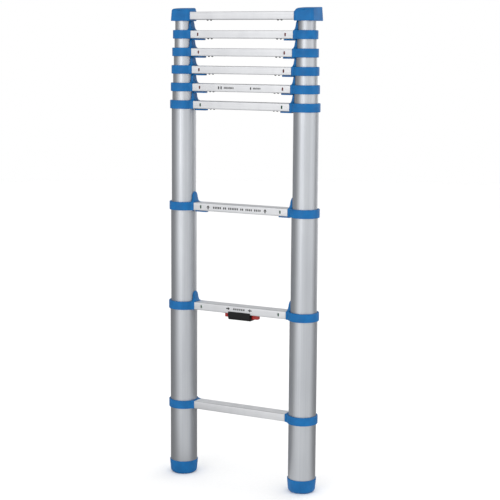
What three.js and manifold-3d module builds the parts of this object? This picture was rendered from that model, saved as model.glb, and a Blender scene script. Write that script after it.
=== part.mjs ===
// A telescopic extension ladder. Eight pairs of round tubes slide inside each other, and each pair
// carries a rung at its top. Millimetres, +Z up, +X to the right, the user climbs from -Y.
// The origin is on the ground, midway between the two feet.
import * as THREE from "three";
import { mergeVertices } from "three/addons/utils/BufferGeometryUtils.js";
import Module from "manifold-3d";

const wasm = await Module();
wasm.setup();

// ---- Driving dimensions -------------------------------------------------------------------------

// Frame
const STILE_SPACING = 387;        // between the axes of the two stiles
const FIRST_COLLAR_TOP = 223;     // top of the lowest collar above the ground
const LOWER_PITCH = 295;          // from the lowest collar to the next, both on the bottom tubes
const RUNG_PITCH = 290;           // from rung to rung with a section drawn out
const CLOSED_PITCH = 49.3;        // from rung to rung with a section pushed in
const DRAWN_OUT = [2, 3];         // the sections that stand drawn out
const SECTIONS = 8;               // nested tube pairs, counted from the bottom
const FIT_GAP = 0.3;              // between pieces that are fixed to each other
const OVERRUN = 1;                // how far a cut or a joined shape runs past the face that it meets

// Stile tubes
const BOTTOM_TUBE_RADIUS = 39;
const TUBE_WALL = 1.5;
const SLIDING_GAP = 0.6;          // radial, between a tube and the next one inside it
const TUBE_SIDES = 20;

// Rungs, hollow extrusions
const RUNG_DEPTH = 40;
const RUNG_HEIGHT = 22;
const RUNG_WALL = 1.8;
const RUNG_CORNER = 2.5;
const RUNG_INSET = 1;             // the collar stands this far above and below the rung
const WINDOW_FROM_END = 23;       // indicator window, from the rung's end to the window's centre
const WINDOW_WIDTH = 4.6;
const WINDOW_HEIGHT = 9.6;

// Collars
const COLLAR_WALL = 4.5;
const COLLAR_LIP = 3;             // thickness of the rim that covers the tube's end
const BLOCK_REACH = 7;            // from the tube to the block's face that meets the rung
const SPIGOT_DEPTH = 12;          // how far the block reaches inside the rung
const SPIGOT_GAP = 0.4;

// Release fin on top of a collar, and the pocket that it enters in the collar above
const FIN_TIP_IN_POCKET = 4.2;
const FIN_WIDTH = 25;             // at the root
const FIN_SHOULDER_WIDTH = 16.5;  // where the tip begins
const FIN_ROOT = 9;               // thickness at the bottom
const FIN_TIP = 3.6;              // thickness at the top
const FIN_TIP_CORNER = 3.5;       // taken off each upper corner
const FIN_TIP_BEVEL = 2;          // taken off the upper edge
const FIN_TUBE_GAP = 0.5;
const LIP_REACH = 6;              // the fin's foot over the rung, from the block's face
const LIP_THICKNESS = 2;
const POCKET_SIDE_GAP = 0.8;

// Tongue under a rung
const TONGUE_REACH = 34.5;
const TONGUE_WIDTH = 17;
const TONGUE_THICKNESS = 4;

// Lock bolts
const BOLT_RADIUS = 5;
const BOLT_GAP = 0.4;             // radial, in each hole that the bolt passes through
const BOLT_SIDES = 8;
const BOLT_SHOULDER_GAP = 1.2;    // between the thick part's end and the spigot, bolt engaged
const BOLT_TAIL = 14;
const BOLT_TAIL_RADIUS = 3;
const BOLT_CLEAR = 0.4;           // between a drawn bolt and the tube that it locks
const BOLT_TRAVEL = 4;            // each way from where the bolt stands
const LOCK_MARGIN = 0.9;          // between a bolt in its hole and the next tube's end

// Top caps
const TOP_RUNG_RAISE = 2.4;       // the top rung sits this much higher in its cap than in a collar
const CAP_RISE = 14;              // above the top of an equal collar
const CAP_ROOF = 9;               // also the height of the chamfer at the front
const CAP_OUTER_WALL = 5.4;       // outside the tube, away from the rung
const CAP_FRONT_WALL = 3.4;
const CAP_BUMPER_DEPTH = 15.4;    // behind the tube, to the face that leans on the wall
const CAP_EDGE = 5;
const CAP_FRONT_CORNER = 8;       // cut off the corner between the front and the rung
const CAP_BACK_CORNER = 23;       // cut off the corner between the bumper and the rung

// Feet
const FOOT_HEIGHT = 39;
const FOOT_WALL = 2.4;
const FOOT_TAPER = 2.9;           // the foot is this much thinner at the bevel than at its rim
const FOOT_SEAT = 24;             // height at which the tube stands in the foot
const FOOT_LEDGE = 9;             // width of the ledge that the tube stands on
const FOOT_FLOOR = 6;
const FOOT_BEVEL = 5;

// Release housing and grips under the second rung
const HOUSING_LENGTH = 70;
const HOUSING_DROP = 18;          // below the rung
const HOUSING_LAP = 5.5;          // up the rung's front and back
const HOUSING_WALL = 2.8;
const HOUSING_BEVEL = 5;
const GRIP_PROUD = 19;            // beyond the housing's end
const GRIP_WIDTH = 16;
const GRIP_HEIGHT = 12.5;
const GRIP_GAP = 0.6;
const GRIP_SPACE = 10;            // between the two grips inside the housing
const GRIP_ROUND = 5;
const PULL_BAR_WIDTH = 12;
const PULL_BAR_THICKNESS = 4;
const PULL_POST = 8;              // length of the post that joins a grip to its bar

// ---- Finishes -----------------------------------------------------------------------------------

const anodised = new THREE.MeshStandardMaterial({ color: 0xc4c7cb, metalness: 0.9, roughness: 0.4 });
const extruded = new THREE.MeshStandardMaterial({ color: 0xd2d4d8, metalness: 0.85, roughness: 0.45 });
const blueNylon = new THREE.MeshStandardMaterial({ color: 0x2a70b4, metalness: 0, roughness: 0.5 });
const blackNylon = new THREE.MeshStandardMaterial({ color: 0x1b1c1f, metalness: 0, roughness: 0.5 });
const redNylon = new THREE.MeshStandardMaterial({ color: 0xb0302c, metalness: 0, roughness: 0.45 });
const zincSteel = new THREE.MeshStandardMaterial({ color: 0xaeb0b2, metalness: 1, roughness: 0.35 });

// ---- Sizes that follow from the driving dimensions ----------------------------------------------

const LEFT = -1;
const RIGHT = 1;
const SIDES = [["left", LEFT], ["right", RIGHT]];

const stileX = (side) => side * STILE_SPACING / 2;
const tubeRadius = (section) => BOTTOM_TUBE_RADIUS - (section - 1) * (TUBE_WALL + SLIDING_GAP);

// Height of the top of the collar at a rung. Rungs 1 and 2 are on the bottom tubes, and every
// further rung is on the section with the number before its own.
function collarTop(rung) {
  if (rung === 1) {
    return FIRST_COLLAR_TOP;
  }
  if (rung === 2) {
    return FIRST_COLLAR_TOP + LOWER_PITCH;
  }
  const pitch = DRAWN_OUT.includes(rung - 1) ? RUNG_PITCH : CLOSED_PITCH;
  return collarTop(rung - 1) + pitch;
}

const topRung = SECTIONS + 1;
const rungRaise = (rung) => rung === topRung ? TOP_RUNG_RAISE : 0;
const rungTop = (rung) => collarTop(rung) - RUNG_INSET + rungRaise(rung);
const sectionOfRung = (rung) => Math.max(1, rung - 1);
const blockFace = (section) => tubeRadius(section) + BLOCK_REACH;
const rungHalfLength = (rung) => STILE_SPACING / 2 - blockFace(sectionOfRung(rung)) - FIT_GAP;

const collarHeight = RUNG_HEIGHT + 2 * RUNG_INSET;
const boltDrop = collarHeight / 2;
const boltHoleRadius = BOLT_RADIUS + BOLT_GAP;
const tubeInsertion = CLOSED_PITCH + boltDrop - boltHoleRadius - LOCK_MARGIN;
const finHeight = CLOSED_PITCH - collarHeight + FIN_TIP_IN_POCKET;
const finShoulder = CLOSED_PITCH - collarHeight - TONGUE_THICKNESS - FIT_GAP;
const capTop = collarTop(topRung) + CAP_RISE;
const capBore = tubeRadius(SECTIONS) + FIT_GAP;
const capFront = capBore + CAP_FRONT_WALL;
const capBack = capBore + CAP_BUMPER_DEPTH;

// ---- Solids -------------------------------------------------------------------------------------

const X = new THREE.Vector3(1, 0, 0);
const Y = new THREE.Vector3(0, 1, 0);
const Z = new THREE.Vector3(0, 0, 1);
const FROM_XZ = new THREE.Matrix4().makeBasis(X, Z, Y.clone().negate());
const FROM_YZ = new THREE.Matrix4().makeBasis(Y, Z, X);

function toSolid(geometry) {
  geometry.deleteAttribute("normal");
  geometry.deleteAttribute("uv");
  const merged = mergeVertices(geometry, 1e-4);
  return new wasm.Manifold(new wasm.Mesh({
    numProp: 3,
    vertProperties: new Float32Array(merged.attributes.position.array),
    triVerts: new Uint32Array(merged.index.array),
  }));
}

function toGeometry(solid) {
  const mesh = solid.getMesh();
  const geometry = new THREE.BufferGeometry();
  geometry.setAttribute("position", new THREE.BufferAttribute(mesh.vertProperties, 3));
  geometry.setIndex(new THREE.BufferAttribute(mesh.triVerts, 1));
  geometry.computeVertexNormals();
  return geometry;
}

const outline = (points) => new THREE.Shape(points.map(([u, v]) => new THREE.Vector2(u, v)));

function extrude(shape, depth) {
  return new THREE.ExtrudeGeometry(shape, { depth, steps: 1, bevelEnabled: false });
}

// Prisms over an outline: one standing along Z, one lying along Y and one lying along X
const prismZ = (points, z0, z1) => toSolid(extrude(outline(points), z1 - z0).translate(0, 0, z0));
const prismY = (points, y0, y1) =>
  toSolid(extrude(outline(points), y1 - y0).applyMatrix4(FROM_XZ).translate(0, y1, 0));
const prismX = (points, x0, x1) =>
  toSolid(extrude(outline(points), x1 - x0).applyMatrix4(FROM_YZ).translate(x0, 0, 0));

function box(x0, x1, y0, y1, z0, z1) {
  const geometry = new THREE.BoxGeometry(Math.abs(x1 - x0), y1 - y0, z1 - z0);
  return toSolid(geometry.translate((x0 + x1) / 2, (y0 + y1) / 2, (z0 + z1) / 2));
}

// A round solid about the Z axis with flat sides facing X and Y
function drum(bottomRadius, topRadius, z0, z1) {
  const geometry = new THREE.CylinderGeometry(topRadius, bottomRadius, z1 - z0, TUBE_SIDES);
  geometry.rotateX(Math.PI / 2).rotateZ(Math.PI / TUBE_SIDES);
  return toSolid(geometry.translate(0, 0, (z0 + z1) / 2));
}

// A round bar along X
function barX(radius, x0, x1, z) {
  const geometry = new THREE.CylinderGeometry(radius, radius, Math.abs(x1 - x0), BOLT_SIDES);
  geometry.rotateY(Math.PI / BOLT_SIDES).rotateZ(Math.PI / 2);
  return toSolid(geometry.translate((x0 + x1) / 2, 0, z));
}

// A rectangle with its four corners cut off, about (0, middle)
function cutCorners(width, height, corner, middle = 0) {
  const [w, h] = [width / 2, height / 2];
  return [
    [-w + corner, middle - h], [w - corner, middle - h], [w, middle - h + corner],
    [w, middle + h - corner], [w - corner, middle + h], [-w + corner, middle + h],
    [-w, middle + h - corner], [-w, middle - h + corner],
  ];
}

// The outline of the hollow inside a rung, or of what fits in it with a gap all round
function rungBore(gap, middle) {
  const inset = 2 * (RUNG_WALL + gap);
  return cutCorners(RUNG_DEPTH - inset, RUNG_HEIGHT - inset, RUNG_CORNER / 2, middle);
}

const ladder = new THREE.Group();

function addPart(name, solid, material, x = 0, z = 0) {
  const mesh = new THREE.Mesh(toGeometry(solid), material);
  mesh.name = name;
  mesh.position.set(x, 0, z);
  ladder.add(mesh);
}

// ---- Tubes --------------------------------------------------------------------------------------

// Each tube ends under the rim of the collar at its top. A hole at the top lets the lock bolt of
// that collar reach the next tube, and a hole near the lower end takes the bolt of the tube's own
// lower collar when the section is drawn out.
function tube(section, side) {
  const radius = tubeRadius(section);
  const upperRung = section + 1;
  const isLast = section === SECTIONS;
  const top = isLast ? capTop - CAP_ROOF - FIT_GAP : collarTop(upperRung) - COLLAR_LIP - FIT_GAP;
  const drawnBase = collarTop(upperRung) - RUNG_PITCH;
  const bottom = section === 1 ? FOOT_SEAT + FIT_GAP : drawnBase - tubeInsertion;
  const bore = drum(radius - TUBE_WALL, radius - TUBE_WALL, bottom - OVERRUN, top + OVERRUN);
  let solid = drum(radius, radius, bottom, top).subtract(bore);
  const hole = (z) => barX(boltHoleRadius, 0, -side * (radius + OVERRUN), z);
  if (!isLast) {
    solid = solid.subtract(hole(collarTop(upperRung) - boltDrop));
  }
  if (section > 1) {
    solid = solid.subtract(hole(drawnBase - boltDrop));
  }
  return solid;
}

// ---- Rungs --------------------------------------------------------------------------------------

function rung(number) {
  const half = rungHalfLength(number);
  const middle = -RUNG_HEIGHT / 2;
  let solid = prismX(cutCorners(RUNG_DEPTH, RUNG_HEIGHT, RUNG_CORNER, middle), -half, half)
    .subtract(prismX(rungBore(0, middle), -half - OVERRUN, half + OVERRUN));
  const hasBolts = number > 1 && number < topRung;
  for (const [, side] of hasBolts ? SIDES : []) {
    const x = side * (half - WINDOW_FROM_END);
    solid = solid.subtract(box(x - WINDOW_WIDTH / 2, x + WINDOW_WIDTH / 2,
      -RUNG_DEPTH / 2 - OVERRUN, -RUNG_DEPTH / 2 + RUNG_WALL + OVERRUN,
      middle - WINDOW_HEIGHT / 2, middle + WINDOW_HEIGHT / 2));
    if (number === 2) {
      solid = solid.subtract(pullPostSlot(side));
    }
  }
  return solid;
}

// ---- Collars ------------------------------------------------------------------------------------

// A collar is built about its stile's axis with its top at height 0. The side is the stile's, so
// the rung lies towards -side.
const reach = (side, distance) => -side * distance;

const boxTowardsRung = (side, from, to, halfWidth, z0, z1) =>
  box(reach(side, from), reach(side, to), -halfWidth, halfWidth, z0, z1);

// The block that meets the rung's end, with a spigot inside the rung
function rungSocket(section, side, raise = 0) {
  const face = blockFace(section);
  const block = boxTowardsRung(side, 0, face, RUNG_DEPTH / 2, -collarHeight, 0);
  const spigotOutline = rungBore(SPIGOT_GAP, raise - RUNG_INSET - RUNG_HEIGHT / 2);
  const [x0, x1] = [reach(side, face - OVERRUN), reach(side, face + SPIGOT_DEPTH)];
  return block.add(prismX(spigotOutline, Math.min(x0, x1), Math.max(x0, x1)));
}

// The fin stands against the inner tube and thins towards its tip
function fin(section, side) {
  const inner = tubeRadius(section + 1);
  const root = inner + FIN_TUBE_GAP + FIN_ROOT;
  const tip = inner + FIN_TUBE_GAP + FIN_TIP;
  const profile = [
    [inner / 2, -OVERRUN], [root, -OVERRUN], [root, LIP_THICKNESS], [tip, finShoulder],
    [tip - FIN_TIP_BEVEL, finHeight], [inner / 2, finHeight],
  ];
  const half = FIN_WIDTH / 2;
  const shoulder = FIN_SHOULDER_WIDTH / 2;
  const front = [
    [-half, -OVERRUN], [half, -OVERRUN], [half, LIP_THICKNESS], [shoulder, finShoulder],
    [shoulder - FIN_TIP_CORNER, finHeight], [-shoulder + FIN_TIP_CORNER, finHeight],
    [-shoulder, finShoulder], [-half, LIP_THICKNESS],
  ];
  const upright = prismY(profile.map(([x, z]) => [reach(side, x), z]), -half, half);
  const tapered = upright.intersect(prismX(front, -root - OVERRUN, root + OVERRUN));
  const lip = boxTowardsRung(side, inner, blockFace(section) + LIP_REACH, half,
    -RUNG_INSET + FIT_GAP, LIP_THICKNESS);
  return tapered.add(lip);
}

// The tongue runs along the underside of the rung
function tongue(section, side) {
  const face = blockFace(section);
  const top = -RUNG_INSET - RUNG_HEIGHT - FIT_GAP;
  return boxTowardsRung(side, face - OVERRUN, face + TONGUE_REACH, TONGUE_WIDTH / 2,
    -collarHeight - TONGUE_THICKNESS, top);
}

// The pocket under a collar for the fin below, which stands against the tube that the collar holds
function finPocket(section, side) {
  const outer = tubeRadius(section) + FIN_TUBE_GAP + FIN_TIP + FIT_GAP;
  const depth = FIN_TIP_IN_POCKET + FIT_GAP;
  return boxTowardsRung(side, 0, outer, FIN_SHOULDER_WIDTH / 2 + POCKET_SIDE_GAP,
    -collarHeight - OVERRUN, -collarHeight + depth);
}

function boltBore(section, side) {
  const end = blockFace(section) + SPIGOT_DEPTH + OVERRUN;
  return barX(boltHoleRadius, 0, reach(side, end), -boltDrop);
}

function lowestCollar(side) {
  const radius = tubeRadius(1);
  const bore = drum(radius + FIT_GAP, radius + FIT_GAP, -collarHeight - OVERRUN, OVERRUN);
  return drum(radius + COLLAR_WALL, radius + COLLAR_WALL, -collarHeight, 0)
    .add(rungSocket(1, side))
    .subtract(bore);
}

function collar(number, side) {
  const section = sectionOfRung(number);
  const radius = tubeRadius(section);
  const innerGap = tubeRadius(section + 1) + FIN_TUBE_GAP;
  let solid = drum(radius + COLLAR_WALL, radius + COLLAR_WALL, -collarHeight, 0)
    .add(rungSocket(section, side))
    .add(fin(section, side))
    .subtract(drum(innerGap, innerGap, -collarHeight - OVERRUN, finHeight + OVERRUN))
    .subtract(drum(radius + FIT_GAP, radius + FIT_GAP, -collarHeight - OVERRUN, -COLLAR_LIP))
    .subtract(boltBore(section, side));
  if (number > 2) {
    solid = solid.add(tongue(section, side)).subtract(finPocket(section, side));
  }
  return solid;
}

// ---- Top caps -----------------------------------------------------------------------------------

// A cap closes the last tube, holds the last rung, and leans on the wall with its back
function topCap(side) {
  const face = blockFace(SECTIONS);
  const outer = side * (capBore + CAP_OUTER_WALL);
  const plan = [
    [reach(side, face), -capFront + CAP_FRONT_CORNER],
    [reach(side, face - CAP_FRONT_CORNER), -capFront],
    [outer - side * CAP_EDGE, -capFront], [outer, -capFront + CAP_EDGE], [outer, capBack],
    [reach(side, face - CAP_BACK_CORNER), capBack], [reach(side, face), capBack - CAP_BACK_CORNER],
  ];
  const profile = [
    [-capFront, -collarHeight], [capBack, -collarHeight], [capBack, CAP_RISE - CAP_EDGE],
    [capBack - CAP_EDGE, CAP_RISE], [-capFront + CAP_ROOF, CAP_RISE],
    [-capFront, CAP_RISE - CAP_ROOF],
  ];
  const body = prismZ(plan, -collarHeight, CAP_RISE)
    .intersect(prismX(profile, -STILE_SPACING / 2, STILE_SPACING / 2));
  return body
    .add(rungSocket(SECTIONS, side, TOP_RUNG_RAISE))
    .subtract(finPocket(SECTIONS, side))
    .subtract(drum(capBore, capBore, -collarHeight - OVERRUN, CAP_RISE - CAP_ROOF));
}

// ---- Feet ---------------------------------------------------------------------------------------

function foot() {
  const bore = tubeRadius(1) + FIT_GAP;
  const outer = bore + FOOT_WALL;
  const waist = outer - FOOT_TAPER;
  const hollow = bore - FOOT_LEDGE;
  return drum(waist - FOOT_BEVEL, waist, 0, FOOT_BEVEL)
    .add(drum(waist, outer, FOOT_BEVEL, FOOT_HEIGHT))
    .subtract(drum(bore, bore, FOOT_SEAT, FOOT_HEIGHT + OVERRUN))
    .subtract(drum(hollow, hollow, FOOT_FLOOR, FOOT_SEAT + OVERRUN));
}

// ---- Release under the second rung ---------------------------------------------------------------

// Heights here are counted from the rung's top
const rungBase = -RUNG_HEIGHT;
const gripTop = rungBase - FIT_GAP - GRIP_GAP;
const gripBase = gripTop - GRIP_HEIGHT;
const housingHalf = HOUSING_LENGTH / 2;
const postX = GRIP_SPACE / 2 + PULL_POST / 2;

// A channel that clips round the rung, with a tunnel for the two grips
function releaseHousing() {
  const depth = RUNG_DEPTH / 2 + FIT_GAP + HOUSING_WALL;
  const [top, bottom] = [rungBase + HOUSING_LAP, rungBase - HOUSING_DROP];
  const section = [
    [-depth + HOUSING_BEVEL, bottom], [depth - HOUSING_BEVEL, bottom],
    [depth, bottom + HOUSING_BEVEL], [depth, top], [-depth, top], [-depth, bottom + HOUSING_BEVEL],
  ];
  const rungSpace = box(-housingHalf - OVERRUN, housingHalf + OVERRUN, -RUNG_DEPTH / 2 - FIT_GAP,
    RUNG_DEPTH / 2 + FIT_GAP, rungBase - FIT_GAP, top + OVERRUN);
  const tunnelHalf = GRIP_WIDTH / 2 + GRIP_GAP;
  const tunnel = box(-housingHalf - OVERRUN, housingHalf + OVERRUN, -tunnelHalf, tunnelHalf,
    gripBase - GRIP_GAP, rungBase + OVERRUN);
  return prismX(section, -housingHalf, housingHalf).subtract(rungSpace).subtract(tunnel);
}

// The slot in the rung's underside that a grip's post moves along
function pullPostSlot(side) {
  const half = PULL_POST / 2 + BOLT_TRAVEL + GRIP_GAP;
  return box(side * postX - half, side * postX + half, -PULL_BAR_WIDTH / 2 - GRIP_GAP,
    PULL_BAR_WIDTH / 2 + GRIP_GAP, rungBase - OVERRUN, rungBase + RUNG_WALL + OVERRUN);
}

// A grip, the bar that it pulls inside the rung, and the lock bolt at the bar's end
function releaseSlide(side) {
  const inner = GRIP_SPACE / 2;
  const outer = housingHalf + GRIP_PROUD;
  const gripPlan = [
    [side * inner, -GRIP_WIDTH / 2], [side * (outer - GRIP_ROUND), -GRIP_WIDTH / 2],
    [side * outer, -GRIP_WIDTH / 2 + GRIP_ROUND], [side * outer, GRIP_WIDTH / 2 - GRIP_ROUND],
    [side * (outer - GRIP_ROUND), GRIP_WIDTH / 2], [side * inner, GRIP_WIDTH / 2],
  ];
  const boltZ = RUNG_INSET - boltDrop;
  const barHalf = PULL_BAR_THICKNESS / 2;
  const noseTip = STILE_SPACING / 2 - boltReach(2);
  const tail = noseTip - boltLength(2);
  const post = box(side * inner, side * (inner + PULL_POST), -PULL_BAR_WIDTH / 2,
    PULL_BAR_WIDTH / 2, gripTop - OVERRUN, boltZ + barHalf);
  const bar = box(side * inner, side * (tail + OVERRUN), -PULL_BAR_WIDTH / 2, PULL_BAR_WIDTH / 2,
    boltZ - barHalf, boltZ + barHalf);
  return prismZ(gripPlan, gripBase, gripTop)
    .add(post)
    .add(bar)
    .add(barX(BOLT_RADIUS, side * tail, side * noseTip, boltZ));
}

// ---- Lock bolts ---------------------------------------------------------------------------------

// From the stile's axis to the nose of a bolt that stands clear of the tube it locks. The tube's
// flat side is a little nearer to the axis than its radius.
function boltReach(rungNumber) {
  const flat = tubeRadius(sectionOfRung(rungNumber) + 1) * Math.cos(Math.PI / TUBE_SIDES);
  return flat + BOLT_CLEAR;
}

// The thick part of a bolt reaches through the collar and its spigot even when the bolt engages
function boltLength(rungNumber) {
  const spigotEnd = blockFace(sectionOfRung(rungNumber)) + SPIGOT_DEPTH;
  return spigotEnd + BOLT_TRAVEL + BOLT_SHOULDER_GAP - boltReach(rungNumber);
}

function lockBolt(number, side) {
  const tip = boltReach(number);
  const shoulder = tip + boltLength(number);
  return barX(BOLT_RADIUS, reach(side, tip), reach(side, shoulder), -boltDrop)
    .add(barX(BOLT_TAIL_RADIUS, reach(side, shoulder - OVERRUN), reach(side, shoulder + BOLT_TAIL),
      -boltDrop));
}

// ---- Assembly -----------------------------------------------------------------------------------

for (const [word, side] of SIDES) {
  const x = stileX(side);
  addPart(`foot_${word}`, foot(), blueNylon, x);
  for (let section = 1; section <= SECTIONS; section += 1) {
    addPart(`tube_${section}_${word}`, tube(section, side), anodised, x);
  }
  addPart(`collar_1_${word}`, lowestCollar(side), blueNylon, x, collarTop(1));
  for (let number = 2; number <= SECTIONS; number += 1) {
    addPart(`collar_${number}_${word}`, collar(number, side), blueNylon, x, collarTop(number));
  }
  for (let number = 3; number <= SECTIONS; number += 1) {
    addPart(`lock_bolt_${number}_${word}`, lockBolt(number, side), zincSteel, x, collarTop(number));
  }
  addPart(`top_cap_${word}`, topCap(side), blueNylon, x, collarTop(topRung));
  addPart(`release_slide_${word}`, releaseSlide(side), redNylon, 0, rungTop(2));
}

for (let number = 1; number <= topRung; number += 1) {
  addPart(`rung_${number}`, rung(number), extruded, 0, rungTop(number));
}
addPart("release_housing", releaseHousing(), blackNylon, 0, rungTop(2));

export default ladder;
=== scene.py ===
"""A telescopic extension ladder with its finishes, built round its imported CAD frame.

Eight pairs of anodised tubes slide inside each other. Blue nylon collars join them to hollow rungs,
and a spring bolt in each rung end locks the next section. Every size below is in millimetres, with
+Z up and the user's side at -Y. Blender works in metres, so a surface is scaled as it becomes an
object.
"""
import logging
import math
from collections.abc import Callable, Sequence
from dataclasses import dataclass, field
from enum import Enum

import bpy
import numpy as np
from mathutils import Matrix, Vector
from mathutils.geometry import tessellate_polygon


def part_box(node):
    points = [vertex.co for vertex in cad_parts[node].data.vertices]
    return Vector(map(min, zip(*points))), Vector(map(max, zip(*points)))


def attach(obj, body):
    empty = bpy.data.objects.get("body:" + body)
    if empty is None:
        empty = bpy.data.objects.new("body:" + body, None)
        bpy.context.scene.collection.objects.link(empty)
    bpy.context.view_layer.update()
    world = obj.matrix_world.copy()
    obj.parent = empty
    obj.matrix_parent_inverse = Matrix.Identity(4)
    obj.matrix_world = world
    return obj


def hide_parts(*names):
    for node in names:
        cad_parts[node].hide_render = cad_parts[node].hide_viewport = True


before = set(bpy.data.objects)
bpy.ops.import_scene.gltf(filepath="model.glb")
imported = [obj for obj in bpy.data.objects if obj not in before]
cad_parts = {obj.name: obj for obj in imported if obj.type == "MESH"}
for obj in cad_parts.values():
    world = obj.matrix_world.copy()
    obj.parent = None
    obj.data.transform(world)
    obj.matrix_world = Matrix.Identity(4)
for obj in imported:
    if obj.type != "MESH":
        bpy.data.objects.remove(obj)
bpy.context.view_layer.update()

LOG = logging.getLogger("ladder")
MM = 0.001
CAD_TUBE_SIDES = 20               # the CAD tubes are prisms, so their boxes are a little narrow
SECTIONS = 8
TOP_RUNG = SECTIONS + 1
TOP_LOCKED_RUNG = 4               # the highest rung whose flags show green as the ladder stands
SMOOTH_ANGLE = math.radians(32)   # edges sharper than this stay crisp

Array = np.ndarray
Shape = Callable[[Array, Array, Array], Array]
Loop = list[tuple[float, float]]


class Side(Enum):
    """The two stiles. The value is the stile's sign along X."""

    LEFT = -1
    RIGHT = 1

    @property
    def word(self) -> str:
        """The side's name in a node or body."""
        return self.name.lower()


class Grain(Enum):
    """The way that a drawn or extruded surface's die lines run. The value is an axis number."""

    ACROSS = 0
    UPRIGHT = 2


class Slot(Enum):
    """The record's material slots."""

    TUBE = "anodised_tube"
    RUNG = "extruded_rung"
    BLUE = "blue_nylon"
    BLACK = "black_nylon"
    RED = "red_nylon"
    GREEN_FLAG = "green_flag"
    RED_FLAG = "red_flag"
    PRINT = "black_print"
    ZINC = "zinc_steel"


# ---- Finishes -----------------------------------------------------------------------------------


def linear(colour: str) -> tuple[float, float, float, float]:
    """Turns an sRGB colour into the linear values that a shader takes.

    Args:
        colour: The colour as a hex string such as "#2a70b4".

    Returns:
        Red, green, blue and an alpha of 1.
    """
    parts = [int(colour[i:i + 2], 16) / 255 for i in (1, 3, 5)]
    bent = [p / 12.92 if p <= 0.04045 else ((p + 0.055) / 1.055) ** 2.4 for p in parts]
    return (*bent, 1.0)


def add_node(tree: bpy.types.NodeTree, kind: str, settings: dict | None = None,
             values: dict | None = None, links: dict | None = None) -> bpy.types.Node:
    """Adds one node to a tree.

    Args:
        tree: The node tree.
        kind: The node's type name.
        settings: Properties of the node by name.
        values: Values of its input sockets by name or number.
        links: Output sockets that feed its input sockets, by name or number.

    Returns:
        The new node.
    """
    node = tree.nodes.new(kind)
    for name, value in (settings or {}).items():
        setattr(node, name, value)
    for name, value in (values or {}).items():
        node.inputs[name].default_value = value
    for name, source in (links or {}).items():
        tree.links.new(source, node.inputs[name])
    return node


@dataclass(frozen=True)
class Finish:
    """What every finish has: a name, the slot it belongs to and its main values."""

    name: str
    slot: Slot
    colour: str
    shade: str                    # the darker tone that the pattern mixes in
    roughness: float

    def material(self) -> bpy.types.Material:
        """Gives the finish's material and makes it the first time.

        Returns:
            The material.
        """
        known = bpy.data.materials.get(self.name)
        if known:
            return known
        material = bpy.data.materials.new(self.name)
        material.use_nodes = True
        tree = material.node_tree
        shader = tree.nodes["Principled BSDF"]
        shader.inputs["Roughness"].default_value = self.roughness
        self.draw(tree, shader)
        return material

    def draw(self, tree: bpy.types.NodeTree, shader: bpy.types.Node) -> None:
        """Adds the finish's own nodes.

        Args:
            tree: The material's nodes.
            shader: The Principled shader that they feed.
        """
        raise NotImplementedError

    def noise(self, tree: bpy.types.NodeTree, sizes: tuple[float, float, float],
              detail: float = 2.0) -> bpy.types.NodeSocket:
        """Adds a noise whose blobs have given sizes.

        Args:
            tree: The material's nodes.
            sizes: The size of a blob along X, Y and Z, in millimetres.
            detail: How many octaves finer it goes.

        Returns:
            The noise's value, about 0.5 on average.
        """
        place = add_node(tree, "ShaderNodeTexCoord")
        scale = add_node(tree, "ShaderNodeMapping",
                         values={"Scale": tuple(1 / (size * MM) for size in sizes)},
                         links={"Vector": place.outputs["Object"]})
        noise = add_node(tree, "ShaderNodeTexNoise", values={"Scale": 1.0, "Detail": detail},
                         links={"Vector": scale.outputs["Vector"]})
        return noise.outputs["Fac"]

    def spread(self, tree: bpy.types.NodeTree, source: bpy.types.NodeSocket,
               low: float, high: float) -> bpy.types.NodeSocket:
        """Maps the middle of a noise's range onto the range from low to high.

        Args:
            tree: The material's nodes.
            source: The noise's value.
            low: What the darkest common value becomes.
            high: What the lightest common value becomes.

        Returns:
            The mapped value.
        """
        node = add_node(tree, "ShaderNodeMapRange",
                        values={"From Min": 0.3, "From Max": 0.7, "To Min": low, "To Max": high},
                        links={"Value": source})
        return node.outputs["Result"]

    def tone(self, tree: bpy.types.NodeTree, share: bpy.types.NodeSocket) -> bpy.types.NodeSocket:
        """Mixes the finish's two tones.

        Args:
            tree: The material's nodes.
            share: The share of the darker tone.

        Returns:
            The mixed colour.
        """
        node = add_node(tree, "ShaderNodeMix", settings={"data_type": "RGBA"},
                        values={6: linear(self.colour), 7: linear(self.shade)}, links={0: share})
        return node.outputs[2]

    def bump(self, tree: bpy.types.NodeTree, height: bpy.types.NodeSocket, depth: float,
             shader: bpy.types.Node) -> None:
        """Raises the surface by a pattern.

        Args:
            tree: The material's nodes.
            height: The pattern, from 0 to 1.
            depth: Its real depth in millimetres.
            shader: The shader that takes the normal.
        """
        node = add_node(tree, "ShaderNodeBump", values={"Strength": 1.0, "Distance": depth * MM},
                        links={"Height": height})
        tree.links.new(node.outputs["Normal"], shader.inputs["Normal"])


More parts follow.
